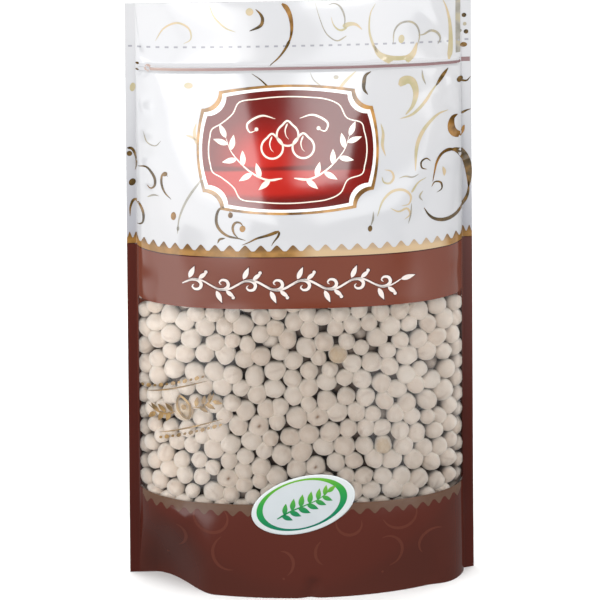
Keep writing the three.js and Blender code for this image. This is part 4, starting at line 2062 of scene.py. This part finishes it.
@dataclass
class BackPanel:
    """A blank pale panel for contents and dates, on the brown part of the back."""

    film: Film
    centre: Point = (0.0, 88.0)
    half_width: float = 46.0
    half_height: float = 34.0
    corner: float = 4.0
    step: float = 3.0

    def outline(self, grow: float) -> Array:
        """The panel's rounded outline, left round.

        Args:
            grow: How far outside the panel it runs.

        Returns:
            Points on the film.
        """
        points = []
        for quarter, (right, up) in enumerate(((1, 1), (-1, 1), (-1, -1), (1, -1))):
            middle = (right * (self.half_width - self.corner), up * (self.half_height - self.corner))
            angles = np.radians(np.linspace(0, 90, 9) + 90 * quarter)
            points.append(rays(angles) * (self.corner + grow) + middle)
        corners = np.vstack(points)
        fine = []
        for a, b in zip(corners, np.roll(corners, -1, axis=0)):
            steps = max(int(np.hypot(*(b - a)) / self.step), 1)
            fine.append(np.linspace(a, b, steps, endpoint=False))
        return np.vstack(fine) + self.centre

    def build(self) -> list[Piece]:
        """Makes the panel and its gold edge.

        Returns:
            The pieces.
        """
        made = []
        for lift, grow, name, finish in (
            (0.05, 1.2, "panel_edge", GoldInk("panel_gold", "7D4D16", "A9762E", "BC8A3C", 8)),
            (0.08, 0.0, "panel_field", Print("panel_cream", "CFC8BB", "C8C0B2", patch=18)),
        ):
            drawing = Drawing(self.film, Side.BACK, lift)
            drawing.fill(self.outline(grow), self.centre, 14)
            made.append(drawing.make(name, finish.build()))
        return made


# ---- The studio ----


def flat_lamp(name: str, width: float, height: float, radiance: float) -> Piece:
    """Makes a flat lamp that the camera doesn't see.

    Args:
        name: Its name.
        width: Its width in metres.
        height: Its height in metres.
        radiance: How brightly its face glows.

    Returns:
        The lamp, which shines down from the origin.
    """
    lamp = bpy.data.lights.new(name, "AREA")
    lamp.shape = "RECTANGLE"
    lamp.size, lamp.size_y = width, height
    lamp.energy = radiance * math.pi * width * height
    made = set_out(name, lamp)
    made.visible_camera = False
    return made


@dataclass(frozen=True)
class Softbox:
    """One flat lamp, aimed at the pouch."""

    name: str
    azimuth: Point
    elevation: Point
    distance: float
    radiance: float
    mirrored: bool = True

    def build(self, aim: Vector) -> None:
        """Places the lamp so that it fills its spans of azimuth and elevation.

        Args:
            aim: The point that it faces.
        """
        (left, right), (low, high) = np.radians(self.azimuth), np.radians(self.elevation)
        width, height = (2 * self.distance * math.tan(span / 2) for span in (right - left, high - low))
        made = flat_lamp(self.name, width, height, self.radiance)
        a, e = (left + right) / 2, (low + high) / 2
        away = Vector((math.sin(a) * math.cos(e), -math.cos(a) * math.cos(e), math.sin(e)))
        made.location = aim + away * self.distance
        made.rotation_euler = away.to_track_quat("Z", "Y").to_euler()
        made.visible_glossy = self.mirrored


@dataclass(frozen=True)
class Card:
    """A glowing card that lies on the floor beside the pouch, for the film to mirror."""

    name: str
    x: Point
    y: Point
    radiance: float
    rise: float = 0.004

    def build(self) -> None:
        """Lays the card."""
        (left, right), (near, far) = self.x, self.y
        made = flat_lamp(self.name, right - left, far - near, self.radiance)
        made.location = ((left + right) / 2, (near + far) / 2, self.rise)
        made.rotation_euler = (math.pi, 0, 0)


@dataclass
class Studio:
    """The camera, the lamps and the floor."""

    elevation: float = 22.0
    yaw: float = 2.0
    roll: float = 0.43
    pixel: float = 0.4658
    foot_pixel: Point = (302.0, 568.0)
    frame_pixels: int = 600
    lens: float = 1400.0
    sensor: float = 36.0
    clip: Point = (0.1, 60.0)
    aim_height: float = 0.2
    room: Colour = (1, 0.99, 0.98, 1)
    room_strength: float = 0.2
    floor_size: float = 8.0
    floor_colour: Colour = (0.86, 0.86, 0.855, 1)

    def place_camera(self) -> None:
        """Looks at the pouch as the photograph does, from far off through a long lens."""
        e, a = math.radians(self.elevation), math.radians(self.yaw)
        ahead = Vector((math.sin(a) * math.cos(e), math.cos(a) * math.cos(e), -math.sin(e)))
        right = Vector((math.cos(a), -math.sin(a), 0))
        up = right.cross(ahead)
        r = math.radians(self.roll)
        right, up = right * math.cos(r) - up * math.sin(r), up * math.cos(r) + right * math.sin(r)
        distance = self.lens * self.frame_pixels * self.pixel * MM / self.sensor
        half = self.frame_pixels / 2
        foot_right = (self.foot_pixel[0] - half) * self.pixel * MM
        foot_up = (half - self.foot_pixel[1]) * self.pixel * MM
        aim = -right * foot_right - up * foot_up
        data = bpy.data.cameras.new("camera")
        data.lens, data.sensor_width = self.lens, self.sensor
        data.clip_start, data.clip_end = self.clip
        camera = set_out("camera", data)
        turn = Matrix((right, up, -ahead)).transposed().to_4x4()
        camera.matrix_world = Matrix.Translation(aim - ahead * distance) @ turn
        bpy.context.scene.camera = camera

    def light(self) -> None:
        """Sets up the softboxes, the cards and the room's faint light."""
        for box in (
            Softbox("left_box", (-45, -1.6), (-4.5, 12), 1.3, 4.9),
            Softbox("right_box", (1.9, 6.5), (-1, 13), 1.3, 5.6),
            Softbox("left_key", (-85, -38), (12, 55), 1.5, 2.8, False),
            Softbox("right_fill", (32, 85), (5, 45), 1.5, 3.1, False),
            Softbox("top_light", (-40, 40), (60, 110), 1.5, 1.6, False),
            Softbox("back_left", (-165, -115), (10, 50), 1.7, 3.6),
            Softbox("back_right", (120, 165), (10, 45), 1.7, 3.4),
        ):
            box.build(Vector((0, 0, self.aim_height)))
        for card in (
            Card("edge_left_card", (-0.85, -0.45), (-0.20, 0.12), 1.7),
            Card("foot_card", (-0.17, -0.09), (-0.15, -0.06), 1.6),
            Card("left_card", (-0.80, -0.12), (-0.60, -0.20), 2.1),
            Card("mid_left_card", (-1.20, -0.12), (-1.65, -0.78), 2.8),
            Card("side_left_card", (-1.20, -0.42), (-0.78, -0.60), 2.6),
            Card("far_left_card", (-1.30, 0.00), (-3.40, -1.70), 3.2),
            Card("middle_card", (-0.12, 0.30), (-1.10, -0.60), 0.5),
            Card("edge_right_card", (0.22, 0.62), (-0.20, 0.14), 0.8),
            Card("side_right_card", (0.36, 0.80), (-0.80, -0.20), 0.7),
            Card("right_card", (0.10, 0.36), (-0.50, -0.20), 1.7),
            Card("far_right_card", (0.10, 1.00), (-3.40, -1.70), 2.4),
        ):
            card.build()
        world = bpy.data.worlds.new("room")
        bpy.context.scene.world = world
        world.use_nodes = True
        glow = world.node_tree.nodes["Background"].inputs
        glow["Color"].default_value = self.room
        glow["Strength"].default_value = self.room_strength

    def lay_floor(self) -> None:
        """Lays the plain pale floor."""
        size = self.floor_size
        mesh = bpy.data.meshes.new("floor")
        corners = [(-size, -size, 0), (size, -size, 0), (size, size, 0), (-size, size, 0)]
        mesh.from_pydata(corners, [], [(0, 1, 2, 3)])
        floor = set_out("floor", mesh)
        mesh.materials.append(Board("floor_white").finish(base_color=self.floor_colour, roughness=0.7))
        floor.visible_glossy = False
        floor.visible_diffuse = False

    def build(self) -> None:
        """Sets up everything round the pouch."""
        self.place_camera()
        self.light()
        self.lay_floor()
        settings = bpy.context.scene.view_settings
        settings.view_transform = "Standard"
        settings.look = "None"


# ---- The whole ----


def main() -> None:
    """Builds the studio and every piece."""
    logging.basicConfig(level=logging.INFO, format="%(name)s: %(message)s")
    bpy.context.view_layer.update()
    Studio().build()
    film = Film()
    pouch = Pouch(film)
    film_pieces = pouch.build()
    heap = Heap(film, pouch.window)
    beans = [heap.build(), heap.build_shade_core()]
    sticker = Sticker(film).build()
    prints = Plaque(film).build() + Borders(film, pouch.border, pouch.window).build()
    prints += Scrollwork(film).build() + BandVine(film).build() + [WindowMark(film).build()]
    prints += BackPanel(film).build()
    for piece in film_pieces + prints:
        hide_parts("pouch")
    for piece in beans:
        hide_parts("chickpeas")
    for piece in sticker:
        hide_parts("sticker")


if __name__ == "__main__":
    main()
